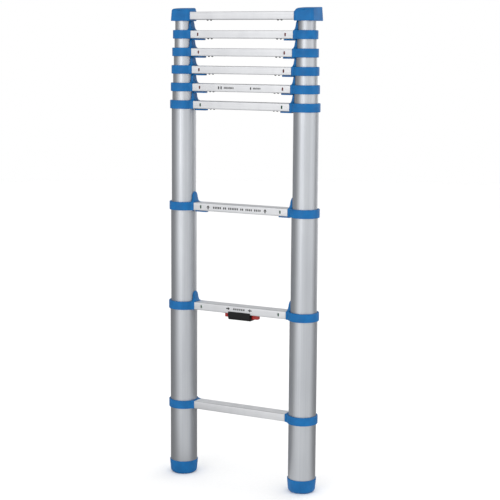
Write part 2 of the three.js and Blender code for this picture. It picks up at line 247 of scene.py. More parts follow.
@dataclass(frozen=True)
class SatinAnodisedAluminium(Finish):
    """Aluminium 6063, drawn or extruded, etched and clear anodised.

    The etch leaves an even satin grey. The die leaves faint lines along the piece, which spread a
    highlight sideways. Real die lines are about 0.1 mm apart, too fine to show, so they are drawn
    at line_width.
    """

    grain: Grain = Grain.UPRIGHT
    line_width: float = 1.6
    line_length: float = 420.0
    cloud: float = 60.0           # size of the slow changes in tone that the etch leaves
    line_depth: float = 0.012

    def draw(self, tree: bpy.types.NodeTree, shader: bpy.types.Node) -> None:
        """Adds die lines, clouds and the metal's own values.

        Args:
            tree: The material's nodes.
            shader: The Principled shader that they feed.
        """
        sizes = [self.line_width] * 3
        sizes[self.grain.value] = self.line_length
        lines = self.noise(tree, tuple(sizes), detail=3.0)
        clouds = self.noise(tree, (self.cloud, self.cloud, 3 * self.cloud))
        both = add_node(tree, "ShaderNodeMath", settings={"operation": "ADD"},
                        links={0: self.spread(tree, lines, 0.0, 0.55),
                               1: self.spread(tree, clouds, 0.0, 0.45)})
        tree.links.new(self.tone(tree, both.outputs[0]), shader.inputs["Base Color"])
        rough = self.spread(tree, lines, self.roughness - 0.05, self.roughness + 0.06)
        tree.links.new(rough, shader.inputs["Roughness"])
        shader.inputs["Metallic"].default_value = 1.0
        self.bump(tree, lines, self.line_depth, shader)


@dataclass(frozen=True)
class MouldedNylon(Finish):
    """Glass-filled nylon (PA6), injection moulded in a spark-eroded mould.

    The mould leaves a fine matt grain, and the glass gives the colour a slight cloudiness. Real
    grain is about 0.2 mm, so it is drawn at grain_size to show. It swallows half of the mirror
    reflection. Handling polishes the edges, which catch the light a little more.
    """

    grain_size: float = 0.9
    grain_depth: float = 0.05
    cloud: float = 22.0
    ior: float = 1.53
    gloss: float = 0.25           # 0.5 is a smooth surface's full reflection

    def draw(self, tree: bpy.types.NodeTree, shader: bpy.types.Node) -> None:
        """Adds the mould's grain, the glass's clouds and the polished edges.

        Args:
            tree: The material's nodes.
            shader: The Principled shader that they feed.
        """
        grain = self.noise(tree, (self.grain_size,) * 3, detail=1.0)
        clouds = self.noise(tree, (self.cloud,) * 3, detail=3.0)
        tree.links.new(self.tone(tree, self.spread(tree, clouds, 0.0, 1.0)),
                       shader.inputs["Base Color"])
        worn = add_node(tree, "ShaderNodeNewGeometry").outputs["Pointiness"]
        edge = add_node(tree, "ShaderNodeMapRange",
                        values={"From Min": 0.5, "From Max": 0.6, "To Min": 0.0, "To Max": -0.1},
                        links={"Value": worn})
        rough = add_node(tree, "ShaderNodeMath", settings={"operation": "ADD"},
                         links={0: self.spread(tree, grain, self.roughness - 0.05,
                                               self.roughness + 0.05),
                                1: edge.outputs["Result"]})
        tree.links.new(rough.outputs[0], shader.inputs["Roughness"])
        shader.inputs["IOR"].default_value = self.ior
        shader.inputs["Specular IOR Level"].default_value = self.gloss
        self.bump(tree, grain, self.grain_depth, shader)


@dataclass(frozen=True)
class ZincPlatedSteel(Finish):
    """Turned steel, bright zinc plated and passivated.

    The plating gives a bluish grey shine with soft cloudy spots, over faint turning marks.
    """

    spot: float = 2.5

    def draw(self, tree: bpy.types.NodeTree, shader: bpy.types.Node) -> None:
        """Adds the plating's spots and the metal's own values.

        Args:
            tree: The material's nodes.
            shader: The Principled shader that they feed.
        """
        spots = self.noise(tree, (self.spot / 4, self.spot, self.spot), detail=3.0)
        tree.links.new(self.tone(tree, self.spread(tree, spots, 0.0, 1.0)),
                       shader.inputs["Base Color"])
        tree.links.new(self.spread(tree, spots, self.roughness - 0.06, self.roughness + 0.08),
                       shader.inputs["Roughness"])
        shader.inputs["Metallic"].default_value = 1.0
        self.bump(tree, spots, 0.01, shader)


@dataclass(frozen=True)
class PadPrintedInk(Finish):
    """Two-part ink, pad printed on the anodised rung.

    It lies flat and slightly glossy, and the tooth of the metal shows as small thin spots.
    """

    spot: float = 1.4
    ior: float = 1.5

    def draw(self, tree: bpy.types.NodeTree, shader: bpy.types.Node) -> None:
        """Adds the thin spots in the ink.

        Args:
            tree: The material's nodes.
            shader: The Principled shader that they feed.
        """
        spots = self.noise(tree, (self.spot,) * 3, detail=3.0)
        tree.links.new(self.tone(tree, self.spread(tree, spots, 0.0, 1.0)),
                       shader.inputs["Base Color"])
        tree.links.new(self.spread(tree, spots, self.roughness, self.roughness + 0.12),
                       shader.inputs["Roughness"])
        shader.inputs["IOR"].default_value = self.ior


@dataclass(frozen=True)
class StudioGlow:
    """How bright the studio looks in a reflection: light at the front and grey elsewhere."""

    azimuth: float = 28.0         # degrees from the front towards +X
    light: float = 1.15
    dark: float = 0.36
    floor_share: float = 0.72     # the floor gives back this much of it
    fade: tuple[float, float] = (0.05, 0.65)   # cosine of the angle off the azimuth

    def strength(self, tree: bpy.types.NodeTree,
                 place: bpy.types.NodeSocket) -> bpy.types.NodeSocket:
        """Adds the nodes that work out the brightness.

        Args:
            tree: The nodes of the world or the floor.
            place: A vector from the ladder to the place that is seen.

        Returns:
            The brightness.
        """
        flat = add_node(tree, "ShaderNodeVectorMath", settings={"operation": "MULTIPLY"},
                        values={1: (1, 1, 0)}, links={0: place})
        unit = add_node(tree, "ShaderNodeVectorMath", settings={"operation": "NORMALIZE"},
                        links={0: flat.outputs[0]})
        turn = math.radians(self.azimuth)
        facing = add_node(tree, "ShaderNodeVectorMath", settings={"operation": "DOT_PRODUCT"},
                          values={1: (math.sin(turn), -math.cos(turn), 0)},
                          links={0: unit.outputs[0]})
        node = add_node(tree, "ShaderNodeMapRange", settings={"interpolation_type": "SMOOTHSTEP"},
                        values={"From Min": self.fade[0], "From Max": self.fade[1],
                                "To Min": self.dark, "To Max": self.light},
                        links={"Value": facing.outputs["Value"]})
        return node.outputs["Result"]


GLOW = StudioGlow()


@dataclass(frozen=True)
class PaintedFloor(Finish):
    """A studio floor in matt emulsion, with a faint roller texture.

    In reflections it takes the studio's glow, as grey boards laid out of view would give.
    """

    stipple: float = 9.0

    def draw(self, tree: bpy.types.NodeTree, shader: bpy.types.Node) -> None:
        """Adds the roller's stipple and the glow in reflections.

        Args:
            tree: The material's nodes.
            shader: The Principled shader that they feed.
        """
        stipple = self.noise(tree, (self.stipple,) * 3)
        tree.links.new(self.tone(tree, self.spread(tree, stipple, 0.0, 1.0)),
                       shader.inputs["Base Color"])
        shader.inputs["Specular IOR Level"].default_value = 0.2
        place = add_node(tree, "ShaderNodeTexCoord")
        glow = GLOW.strength(tree, place.outputs["Object"])
        share = add_node(tree, "ShaderNodeMath", settings={"operation": "MULTIPLY"},
                         values={1: GLOW.floor_share}, links={0: glow})
        boards = add_node(tree, "ShaderNodeEmission", links={"Strength": share.outputs[0]})
        path = add_node(tree, "ShaderNodeLightPath")
        mix = add_node(tree, "ShaderNodeMixShader",
                       links={0: path.outputs["Is Glossy Ray"], 1: shader.outputs[0],
                              2: boards.outputs[0]})
        tree.links.new(mix.outputs[0], tree.nodes["Material Output"].inputs["Surface"])


TUBE_FINISH = SatinAnodisedAluminium("satin_anodised_tube", Slot.TUBE, "#c9ccd0", "#b9bcc1", 0.45)
RUNG_FINISH = SatinAnodisedAluminium("satin_anodised_rung", Slot.RUNG, "#e3e4e6", "#d4d5d8", 0.5,
                                     grain=Grain.ACROSS, line_width=1.1, cloud=35.0)
BLUE_NYLON = MouldedNylon("blue_glass_filled_nylon", Slot.BLUE, "#0064a2", "#005892", 0.48)
BLACK_NYLON = MouldedNylon("black_glass_filled_nylon", Slot.BLACK, "#0e0d0f", "#09080a", 0.5)
RED_NYLON = MouldedNylon("red_nylon", Slot.RED, "#b32a2c", "#9b2226", 0.42, grain_size=0.7)
GREEN_NYLON = MouldedNylon("green_nylon", Slot.GREEN_FLAG, "#1f5a40", "#154832", 0.4)
FLAG_RED = MouldedNylon("flag_red_nylon", Slot.RED_FLAG, "#701014", "#560b0e", 0.4)
PRINT = PadPrintedInk("black_pad_print", Slot.PRINT, "#101012", "#222225", 0.4)
ZINC = ZincPlatedSteel("bright_zinc_plated_steel", Slot.ZINC, "#b9bcbe", "#9fa3a7", 0.3)
FLOOR = PaintedFloor("matt_white_floor", Slot.BLACK, "#fbfbfb", "#f8f8f8", 0.8)


# ---- Surfaces -----------------------------------------------------------------------------------


@dataclass
class Surface:
    """A mesh in millimetres, before it becomes an object."""

    points: Array
    faces: list[Sequence[int]]
    normals: Array | None = None

    def placed(self, x: float = 0.0, y: float = 0.0, z: float = 0.0,
               mirror: bool = False) -> "Surface":
        """Copies the surface to another place.

        Args:
            x: The shift along X, after any mirroring.
            y: The shift along Y.
            z: The shift along Z.
            mirror: Whether it is mirrored in X first.

        Returns:
            The copy.
        """
        flip = np.array([-1.0 if mirror else 1.0, 1.0, 1.0])
        faces = [face[::-1] for face in self.faces] if mirror else self.faces
        normals = None if self.normals is None else self.normals * flip
        return Surface(self.points * flip + (x, y, z), faces, normals)

    def joined(self, *others: "Surface") -> "Surface":
        """Puts surfaces without normals of their own into one.

        Args:
            others: The surfaces to add.

        Returns:
            The joined surface.
        """
        points, faces, start = [], [], 0
        for part in (self, *others):
            points.append(part.points)
            faces += [[index + start for index in face] for face in part.faces]
            start += len(part.points)
        return Surface(np.vstack(points), faces)

    def mesh(self, name: str) -> bpy.types.Mesh:
        """Makes the Blender mesh in metres.

        Args:
            name: The mesh's name.

        Returns:
            The mesh, smooth but for its sharp edges.
        """
        mesh = bpy.data.meshes.new(name)
        mesh.from_pydata((self.points * MM).tolist(), [], self.faces)
        mesh.update()
        mesh.shade_smooth()
        if self.normals is None:
            mesh.set_sharp_from_angle(angle=SMOOTH_ANGLE)
        else:
            mesh.normals_split_custom_set_from_vertices(self.normals.tolist())
        return mesh


def add_piece(name: str, surface: Surface, finish: Finish, body: str, *nodes: str,
              cutters: Sequence[Surface] = ()) -> bpy.types.Object:
    """Makes a piece of the ladder, dresses it and ties it to its body.

    Args:
        name: The piece's name.
        surface: Its shape.
        finish: Its finish.
        body: The CAD body that it moves with.
        nodes: The CAD nodes that it stands for.
        cutters: Shapes that are cut out of it.

    Returns:
        The piece.
    """
    piece = bpy.data.objects.new(name, surface.mesh(name))
    bpy.context.scene.collection.objects.link(piece)
    if cutters:
        cut_out(piece, cutters)
    piece.data.materials.append(finish.material())
    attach(piece, body)
    if nodes:
        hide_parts(*nodes)
    return piece


def add_pair(name: str, surface: Surface, body: str, z: float = 0.0, mirrored: bool = True) -> None:
    """Sets a copy of a blue moulding on each stile.

    Args:
        name: What the two CAD nodes are called before their side.
        surface: The left moulding, about its stile's axis.
        body: The body that both move with.
        z: The height of the moulding's own zero.
        mirrored: Whether the right one is a mirror image.
    """
    for side in Side:
        node = f"{name}_{side.word}"
        placed = surface.placed(side.value * LAYOUT.stile_x, 0, z,
                                mirror=mirrored and side is Side.RIGHT)
        add_piece(f"{node}_moulding", placed, BLUE_NYLON, body, node)


def cut_out(piece: bpy.types.Object, cutters: Sequence[Surface]) -> None:
    """Cuts shapes out of a piece.

    Args:
        piece: The piece.
        cutters: The closed shapes to take away.
    """
    tool = bpy.data.objects.new("cutter", cutters[0].joined(*cutters[1:]).mesh("cutter"))
    bpy.context.scene.collection.objects.link(tool)
    modifier = piece.modifiers.new("cut", "BOOLEAN")
    modifier.operation = "DIFFERENCE"
    modifier.solver = "EXACT"
    modifier.object = tool
    whole = piece.data
    graph = bpy.context.evaluated_depsgraph_get()
    piece.data = bpy.data.meshes.new_from_object(piece.evaluated_get(graph))
    piece.data.name = piece.name
    piece.modifiers.clear()
    piece.data.set_sharp_from_angle(angle=SMOOTH_ANGLE)
    bpy.data.meshes.remove(whole)
    bpy.data.objects.remove(tool)


def lathe(profile: Loop, segments: int) -> Surface:
    """Turns a profile about the Z axis.

    Args:
        profile: Points (radius, height), counter-clockwise. It closes on itself, or it starts and
            ends on the axis.
        segments: How many steps go round.

    Returns:
        The turned surface.
    """
    turns = np.arange(segments) * 2 * math.pi / segments
    points, rings = [], []
    for radius, height in profile:
        if radius == 0:
            rings.append([len(points)] * segments)
            points.append((0.0, 0.0, height))
        else:
            rings.append(list(range(len(points), len(points) + segments)))
            points += [(radius * math.cos(t), radius * math.sin(t), height) for t in turns]
    pairs = list(zip(rings, rings[1:]))
    if profile[0][0] != 0:
        pairs.append((rings[-1], rings[0]))
    faces = []
    for low, high in pairs:
        for i in range(segments):
            j = (i + 1) % segments
            ring = [low[i], low[j], high[j], high[i]]
            faces.append(list(dict.fromkeys(ring)))
    return Surface(np.array(points), faces)


def turned_to_x(surface: Surface, outward: float) -> Surface:
    """Lays a turned surface along X.

    Args:
        surface: A surface about the Z axis.
        outward: 1 where its top points to +X, and -1 where it points to -X.

    Returns:
        The surface about the X axis.
    """
    x, y, z = surface.points.T
    return Surface(np.column_stack((outward * z, outward * y, -x)), surface.faces)


class Along(Enum):
    """The axis that a prism lies along."""

    X = "x"
    Y = "y"
    Z = "z"


def prism(loops: Sequence[Loop], start: float, end: float, along: Along) -> Surface:
    """Extrudes an outline and its holes.

    Args:
        loops: The outline, counter-clockwise, then its holes, clockwise. The points are (y, z)
            along X, (x, z) along Y and (x, y) along Z.
        start: Where it starts along the axis.
        end: Where it ends.
        along: The axis.

    Returns:
        The closed surface.
    """
    flat = [point for loop in loops for point in loop]
    count = len(flat)
    order = {Along.X: (2, 0, 1), Along.Y: (0, 2, 1), Along.Z: (0, 1, 2)}[along]
    both = np.array([(u, v, w) for w in (start, end) for u, v in flat])
    caps = tessellate_polygon([[Vector((u, v, 0)) for u, v in loop] for loop in loops])
    faces: list[Sequence[int]] = []
    for a, b, c in caps:
        area = np.cross(np.subtract(flat[b], flat[a]), np.subtract(flat[c], flat[a]))
        low = (a, c, b) if area > 0 else (a, b, c)
        faces.append(low)
        faces.append(tuple(index + count for index in low[::-1]))
    first = 0
    for loop in loops:
        for i in range(len(loop)):
            j = first + (i + 1) % len(loop)
            faces.append((first + i, j, j + count, first + i + count))
        first += len(loop)
    if along is Along.Y:
        faces = [face[::-1] for face in faces]
    return Surface(both[:, order], faces)


def rounded_loop(u0: float, u1: float, v0: float, v1: float, radius: float,
                 steps: int = 5) -> Loop:
    """Gives a rectangle with round corners.

    Args:
        u0: Its left side.
        u1: Its right side.
        v0: Its bottom.
        v1: Its top.
        radius: The corners' radius.
        steps: Steps in each corner.

    Returns:
        The outline, counter-clockwise from the lower right corner.
    """
    centres = [(u1 - radius, v0 + radius), (u1 - radius, v1 - radius),
               (u0 + radius, v1 - radius), (u0 + radius, v0 + radius)]
    loop = []
    for quarter, (u, v) in enumerate(centres):
        for step in range(steps + 1):
            turn = (quarter - 1 + step / steps) * math.pi / 2
            loop.append((u + radius * math.cos(turn), v + radius * math.sin(turn)))
    return loop


# ---- Moulded shapes, as signed distances --------------------------------------------------------


def meet(a: Array, b: Array, radius: float) -> Array:
    """What two shapes share, with a rounded edge where they cross.

    Args:
        a: The distance to the first shape.
        b: The distance to the second shape.
        radius: The edge's radius.

    Returns:
        The distance to what they share.
    """
    rest = np.maximum(a, b)
    corner = np.hypot(np.maximum(a + radius, 0), np.maximum(b + radius, 0))
    return np.minimum(rest, -radius) + corner


def union(a: Array, b: Array, radius: float) -> Array:
    """Two shapes in one, with a fillet where they cross."""
    return -meet(-a, -b, radius)


def cut(a: Array, b: Array, radius: float) -> Array:
    """The first shape without the second, with a rounded edge."""
    return meet(a, -b, radius)


def between(value: Array, low: float, high: float) -> Array:
    """A slab from low to high."""
    return np.maximum(low - value, value - high)


def rounded_rectangle(u: Array, v: Array, u0: float, u1: float, v0: float, v1: float,
                      radius: float) -> Array:
    """Gives the distance to a rectangle with round corners.

    Args:
        u: Places along the first axis.
        v: Places along the second axis.
        u0: Its lower side along u.
        u1: Its upper side along u.
        v0: Its lower side along v.
        v1: Its upper side along v.
        radius: The corners' radius.

    Returns:
        The distance, less than 0 inside.
    """
    du = np.abs(u - (u0 + u1) / 2) - (u1 - u0) / 2
    dv = np.abs(v - (v0 + v1) / 2) - (v1 - v0) / 2
    return meet(du, dv, radius)


@dataclass(frozen=True)
class Moulder:
    """Turns a signed distance into a mesh by surface nets.

    Each cell that the surface passes through gets one point, which then slides onto the surface,
    and the normals come from the distance itself, so flats are flat and fillets are round.
    """

    cell: float = 1.3
    slides: int = 3
    probe: float = 0.02           # half the step that a gradient is measured over

    def mesh(self, shape: Shape, low: Sequence[float], high: Sequence[float]) -> Surface:
        """Meshes a shape.

        Args:
            shape: Gives the distance at places x, y and z.
            low: A corner below the shape.
            high: A corner above it.

        Returns:
            The surface, with normals.
        """
        axes = [np.arange(a - 2 * self.cell, b + 3 * self.cell, self.cell)
                for a, b in zip(low, high)]
        values = shape(axes[0][:, None, None], axes[1][None, :, None], axes[2][None, None, :])
        inside = values < 0
        cells, total, crossings = self.active(inside, values)
        points = (cells + total / crossings[:, None]) * self.cell + [axis[0] for axis in axes]
        start = points.copy()
        for _ in range(self.slides):
            slope = self.gradient(shape, points)
            step = shape(*points.T)[:, None] * slope / np.maximum((slope ** 2).sum(1), 0.05)[:, None]
            points = np.clip(points - step, start - self.cell, start + self.cell)
        slope = self.gradient(shape, points)
        normals = slope / np.maximum(np.linalg.norm(slope, axis=1), 1e-6)[:, None]
        return Surface(points, self.quads(inside, cells), normals)

    def active(self, inside: Array, values: Array) -> tuple[Array, Array, Array]:
        """Finds the cells that the surface passes through.

        Args:
            inside: Whether each grid point is inside.
            values: The distance at each grid point.

        Returns:
            The cells' numbers, the sum of the places where their edges are crossed, and how many
            crossings each has.
        """
        corners = [(i, j, k) for i in (0, 1) for j in (0, 1) for k in (0, 1)]
        nx, ny, nz = (size - 1 for size in inside.shape)
        count = sum(inside[i:i + nx, j:j + ny, k:k + nz].astype(np.int8) for i, j, k in corners)
        cells = np.argwhere((count > 0) & (count < 8))
        total = np.zeros((len(cells), 3))
        crossings = np.zeros(len(cells))
        for corner in corners:
            for axis in range(3):
                if corner[axis] == 1:
                    continue
                far = list(corner)
                far[axis] = 1
                a = values[tuple((cells + corner).T)]
                b = values[tuple((cells + far).T)]
                hit = (a < 0) != (b < 0)
                share = np.where(hit, a / np.where(hit, a - b, 1), 0)
                place = np.tile(np.array(corner, float), (len(cells), 1))
                place[:, axis] = share
                total += place * hit[:, None]
                crossings += hit
        return cells, total, crossings

    def quads(self, inside: Array, cells: Array) -> list[Sequence[int]]:
        """Joins the points of neighbouring cells.

        Args:
            inside: Whether each grid point is inside.
            cells: The numbers of the active cells.

        Returns:
            One quad for each grid edge that the surface crosses.
        """
        number = np.full(inside.shape, -1)
        number[tuple(cells.T)] = np.arange(len(cells))
        faces = []
        for axis in range(3):
            one, two = (axis + 1) % 3, (axis + 2) % 3
            near = np.take(inside, range(inside.shape[axis] - 1), axis)
            far = np.take(inside, range(1, inside.shape[axis]), axis)
            edges = np.argwhere(near != far)
            leaving = near[tuple(edges.T)]
            ring = []
            for back_one, back_two in ((1, 1), (0, 1), (0, 0), (1, 0)):
                at = edges.copy()
                at[:, one] -= back_one
                at[:, two] -= back_two
                ring.append(number[tuple(at.T)])
            quads = np.column_stack(ring)
            quads[~leaving] = quads[~leaving][:, ::-1]
            faces.append(quads)
        return np.vstack(faces).tolist()

    def gradient(self, shape: Shape, points: Array) -> Array:
        """Measures which way the distance grows.

        Args:
            shape: Gives the distance.
            points: The places to measure at.

        Returns:
            The gradient at each place.
        """
        columns = []
        for axis in range(3):
            step = np.zeros(3)
            step[axis] = self.probe
            rise = shape(*(points + step).T) - shape(*(points - step).T)
            columns.append(rise / (2 * self.probe))
        return np.column_stack(columns)


MOULDER = Moulder()


# ---- Places that come from the CAD frame --------------------------------------------------------


@dataclass(frozen=True)
class Extent:
    """The box of one or more CAD nodes, in millimetres."""

    low: Array
    high: Array

    @classmethod
    def of(cls, node: str) -> "Extent":
        """Reads a node's box from the frame."""
        low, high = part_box(node)
        return cls(np.array(low) / MM, np.array(high) / MM)


@dataclass(frozen=True)
class Layout:
    """Where the CAD frame puts the ladder's pieces."""

    rung_inset: float = 1.0       # the collar stands this far above the rung
    fit_gap: float = 0.3

    @property
    def stile_x(self) -> float:
        """The distance from the middle to a stile's axis."""
        box = Extent.of("tube_1_right")
        return (box.low[0] + box.high[0]) / 2

    def radius(self, section: int) -> float:
        """The outer radius of a section's tubes."""
        box = Extent.of(f"tube_{section}_right")
        return (box.high[0] - box.low[0]) / 2 / math.cos(math.pi / CAD_TUBE_SIDES)

    def collar_top(self, rung: int) -> float:
        """Finds the top of the collar at a rung.

        Args:
            rung: The rung's number, from the ground.

        Returns:
            The height above the ground.
        """
        if rung == TOP_RUNG:
            return Extent.of("top_cap_right").low[2] + self.collar_height
        return Extent.of(f"rung_{rung}").high[2] + self.rung_inset

    @property
    def collar_height(self) -> float:
        """The height of a collar's band."""
        rung = Extent.of("rung_1")
        return rung.high[2] - rung.low[2] + 2 * self.rung_inset

    def block_face(self, rung: int) -> float:
        """The distance from a stile's axis to the collar's face at the rung's end."""
        return self.stile_x - Extent.of(f"rung_{rung}").high[0] - self.fit_gap

    def section_of(self, rung: int) -> int:
        """The section whose tubes carry a rung."""
        return max(1, rung - 1)

    def body_of(self, rung: int) -> str:
        """The body that a rung moves with."""
        return f"section_{self.section_of(rung)}"


LAYOUT = Layout()


# ---- Tubes --------------------------------------------------------------------------------------


@dataclass(frozen=True)
class StileTube:
    """One anodised tube, with the hole for its lock bolt and a guide bush at its lower end."""

    section: int
    side: Side
    wall: float = 1.5
    edge: float = 0.4             # broken edge at each end
    segments: int = 96
    bolt_hole: float = 5.4        # radius
    hole_from_base: float = 43.0
    bush_length: float = 24.0
    bush_proud: float = 0.4
    bush_lip: float = 0.5

    def build(self) -> None:
        """Makes the tube and its bush."""
        node = f"tube_{self.section}_{self.side.word}"
        body = f"section_{self.section}"
        box = Extent.of(node)
        radius = LAYOUT.radius(self.section)
        base, top = box.low[2], box.high[2]
        inner = radius - self.wall
        profile = [
            (inner, base + self.edge), (inner + self.edge, base), (radius - self.edge, base),
            (radius, base + self.edge), (radius, top - self.edge), (radius - self.edge, top),
            (inner + self.edge, top), (inner, top - self.edge),
        ]
        x = self.side.value * LAYOUT.stile_x
        heights = []
        if self.section > 1:
            heights.append(base + self.hole_from_base)
        if self.section < SECTIONS:
            heights.append(LAYOUT.collar_top(self.section + 1) - LAYOUT.collar_height / 2)
        drill = lathe([(0, 0), (self.bolt_hole, 0), (self.bolt_hole, radius + 1), (0, radius + 1)], 24)
        inward = turned_to_x(drill, -self.side.value)
        add_piece(f"{node}_shell", lathe(profile, self.segments).placed(x), TUBE_FINISH, body, node,
                  cutters=[inward.placed(x, 0, height) for height in heights])
        if self.section > 1:
            self.build_bush(x, base, radius, body)

    def build_bush(self, x: float, base: float, radius: float, body: str) -> None:
        """Makes the thin black sleeve that guides the tube's lower end.

        Args:
            x: The stile's place.
            base: The height of the tube's lower end.
            radius: The tube's outer radius.
            body: The body that it moves with.
        """
        outer = radius + self.bush_proud
        low = base - self.bush_lip
        profile = [
            (radius - self.wall, low), (outer - self.edge, low), (outer, low + self.edge),
            (outer, low + self.bush_length - self.edge), (outer - self.edge / 2, low + self.bush_length),
            (radius + 0.02, low + self.bush_length), (radius + 0.02, base - 0.02),
            (radius - self.wall, base - 0.02),
        ]
        add_piece(f"guide_bush_{self.section}_{self.side.word}",
                  lathe(profile, self.segments).placed(x), BLACK_NYLON, body)


# ---- Rungs --------------------------------------------------------------------------------------


@dataclass(frozen=True)
class Rung:
    """A hollow rung with a ribbed tread, and windows where a lock bolt's flag can be seen."""

    number: int
    wall: float = 1.8
    corner: float = 2.2
    rib_pitch: float = 2.6
    rib_depth: float = 0.7
    rib_margin: float = 3.2       # plain strip at each edge of the tread
    window_width: float = 4.6
    window_height: float = 9.6
    window_from_end: float = 23.0
    slot_from: float = 0.4        # the release posts' slot, from the rung's middle
    slot_to: float = 17.6
    slot_half_width: float = 6.6

    @property
    def node(self) -> str:
        """The CAD node of this rung."""
        return f"rung_{self.number}"

    def outline(self, box: Extent) -> Loop:
        """Draws the rung's section with its ribs.

        Args:
            box: The rung's box.

        Returns:
            The outline, counter-clockwise seen from +X.
        """
        low_y, high_y = box.low[1], box.high[1]
        low_z, high_z = box.low[2], box.high[2]
        loop = rounded_loop(low_y, high_y, low_z, high_z, self.corner)
        half = len(loop) // 2
        ribs = []
        span = high_y - low_y - 2 * self.rib_margin
        count = int(span / self.rib_pitch)
        pitch = span / count
        for rib in range(count):
            edge = high_y - self.rib_margin - rib * pitch
            ribs += [(edge - 0.1 * pitch, high_z), (edge - 0.3 * pitch, high_z - self.rib_depth),
                     (edge - 0.7 * pitch, high_z - self.rib_depth), (edge - 0.9 * pitch, high_z)]
        return loop[:half] + ribs + loop[half:]

    def build(self) -> None:
        """Makes the rung."""
        box = Extent.of(self.node)
        bore = rounded_loop(box.low[1] + self.wall, box.high[1] - self.wall, box.low[2] + self.wall,
                            box.high[2] - self.wall, self.corner / 2, steps=3)
        surface = prism([self.outline(box), bore[::-1]], box.low[0], box.high[0], Along.X)
        add_piece(f"{self.node}_extrusion", surface, RUNG_FINISH, LAYOUT.body_of(self.number),
                  self.node, cutters=self.cutters(box))

    def cutters(self, box: Extent) -> list[Surface]:
        """Gives the windows, and the slots of the rung that carries the release.

        Args:
            box: The rung's box.

        Returns:
            The shapes to cut out.
        """
        if self.number in (1, TOP_RUNG):
            return []
        shapes = []
        middle = (box.low[2] + box.high[2]) / 2
        front = box.low[1]
        for side in Side:
            x = side.value * (box.high[0] - self.window_from_end)
            loop = rounded_loop(x - self.window_width / 2, x + self.window_width / 2,
                                middle - self.window_height / 2, middle + self.window_height / 2,
                                self.window_width / 2 - 0.1)
            shapes.append(prism([loop], front - 1, front + self.wall + 1, Along.Y))
            if self.number == 2:
                ends = sorted((side.value * self.slot_from, side.value * self.slot_to))
                slot = rounded_loop(ends[0], ends[1], -self.slot_half_width, self.slot_half_width, 2)
                shapes.append(prism([slot], box.low[2] - 1, box.low[2] + self.wall + 1, Along.Z))
        return shapes


# ---- Collars ------------------------------------------------------------------------------------


@dataclass(frozen=True)
class RungHolder:
    """What collars and caps share. Each is shaped about its stile's axis, with the rung at +X."""

    rung: int
    block_edge: float = 1.6
    half_depth: float = 20.0      # of the block at the rung's end
    spigot_depth: float = 12.0
    spigot_inset: float = 2.2
    tube_gap: float = 0.5
    pocket_half_width: float = 13.3
    pocket_reach: float = 4.7     # beyond the sliding tube
    pocket_depth: float = 4.5

    @property
    def radius(self) -> float:
        """The radius of the tube that the moulding is fixed to."""
        return LAYOUT.radius(LAYOUT.section_of(self.rung))

    @property
    def height(self) -> float:
        """The band's height."""
        return LAYOUT.collar_height

    def socket(self, x: Array, y: Array, z: Array, face: float) -> Array:
        """The block at the rung's end, with the spigot inside the rung.

        Args:
            x: Places along X.
            y: Places along Y.
            z: Places along Z.
            face: The distance from the axis to the block's face.

        Returns:
            The distance to the two.
        """
        inset = self.spigot_inset + LAYOUT.rung_inset
        plan = rounded_rectangle(y, z, -self.half_depth, self.half_depth, -self.height, 0,
                                 self.block_edge)
        block = meet(plan, between(x, 0, face), 0.8)
        depth = self.half_depth - self.spigot_inset
        spigot = rounded_rectangle(y, z, -depth, depth, -self.height + inset, -inset, 1.2)
        return np.minimum(block, meet(spigot, between(x, face - 2, face + self.spigot_depth), 1.0))

    def pocket(self, x: Array, y: Array, z: Array) -> Array:
        """The pocket underneath, which the fin of the collar below enters.

        Args:
            x: Places along X.
            y: Places along Y.
            z: Places along Z.

        Returns:
            The distance to the pocket.
        """
        reach = self.radius + self.tube_gap + self.pocket_reach
        plan = rounded_rectangle(x, y, -1, reach, -self.pocket_half_width, self.pocket_half_width, 0.8)
        return np.maximum(plan, between(z, -2 * self.height, -self.height + self.pocket_depth))


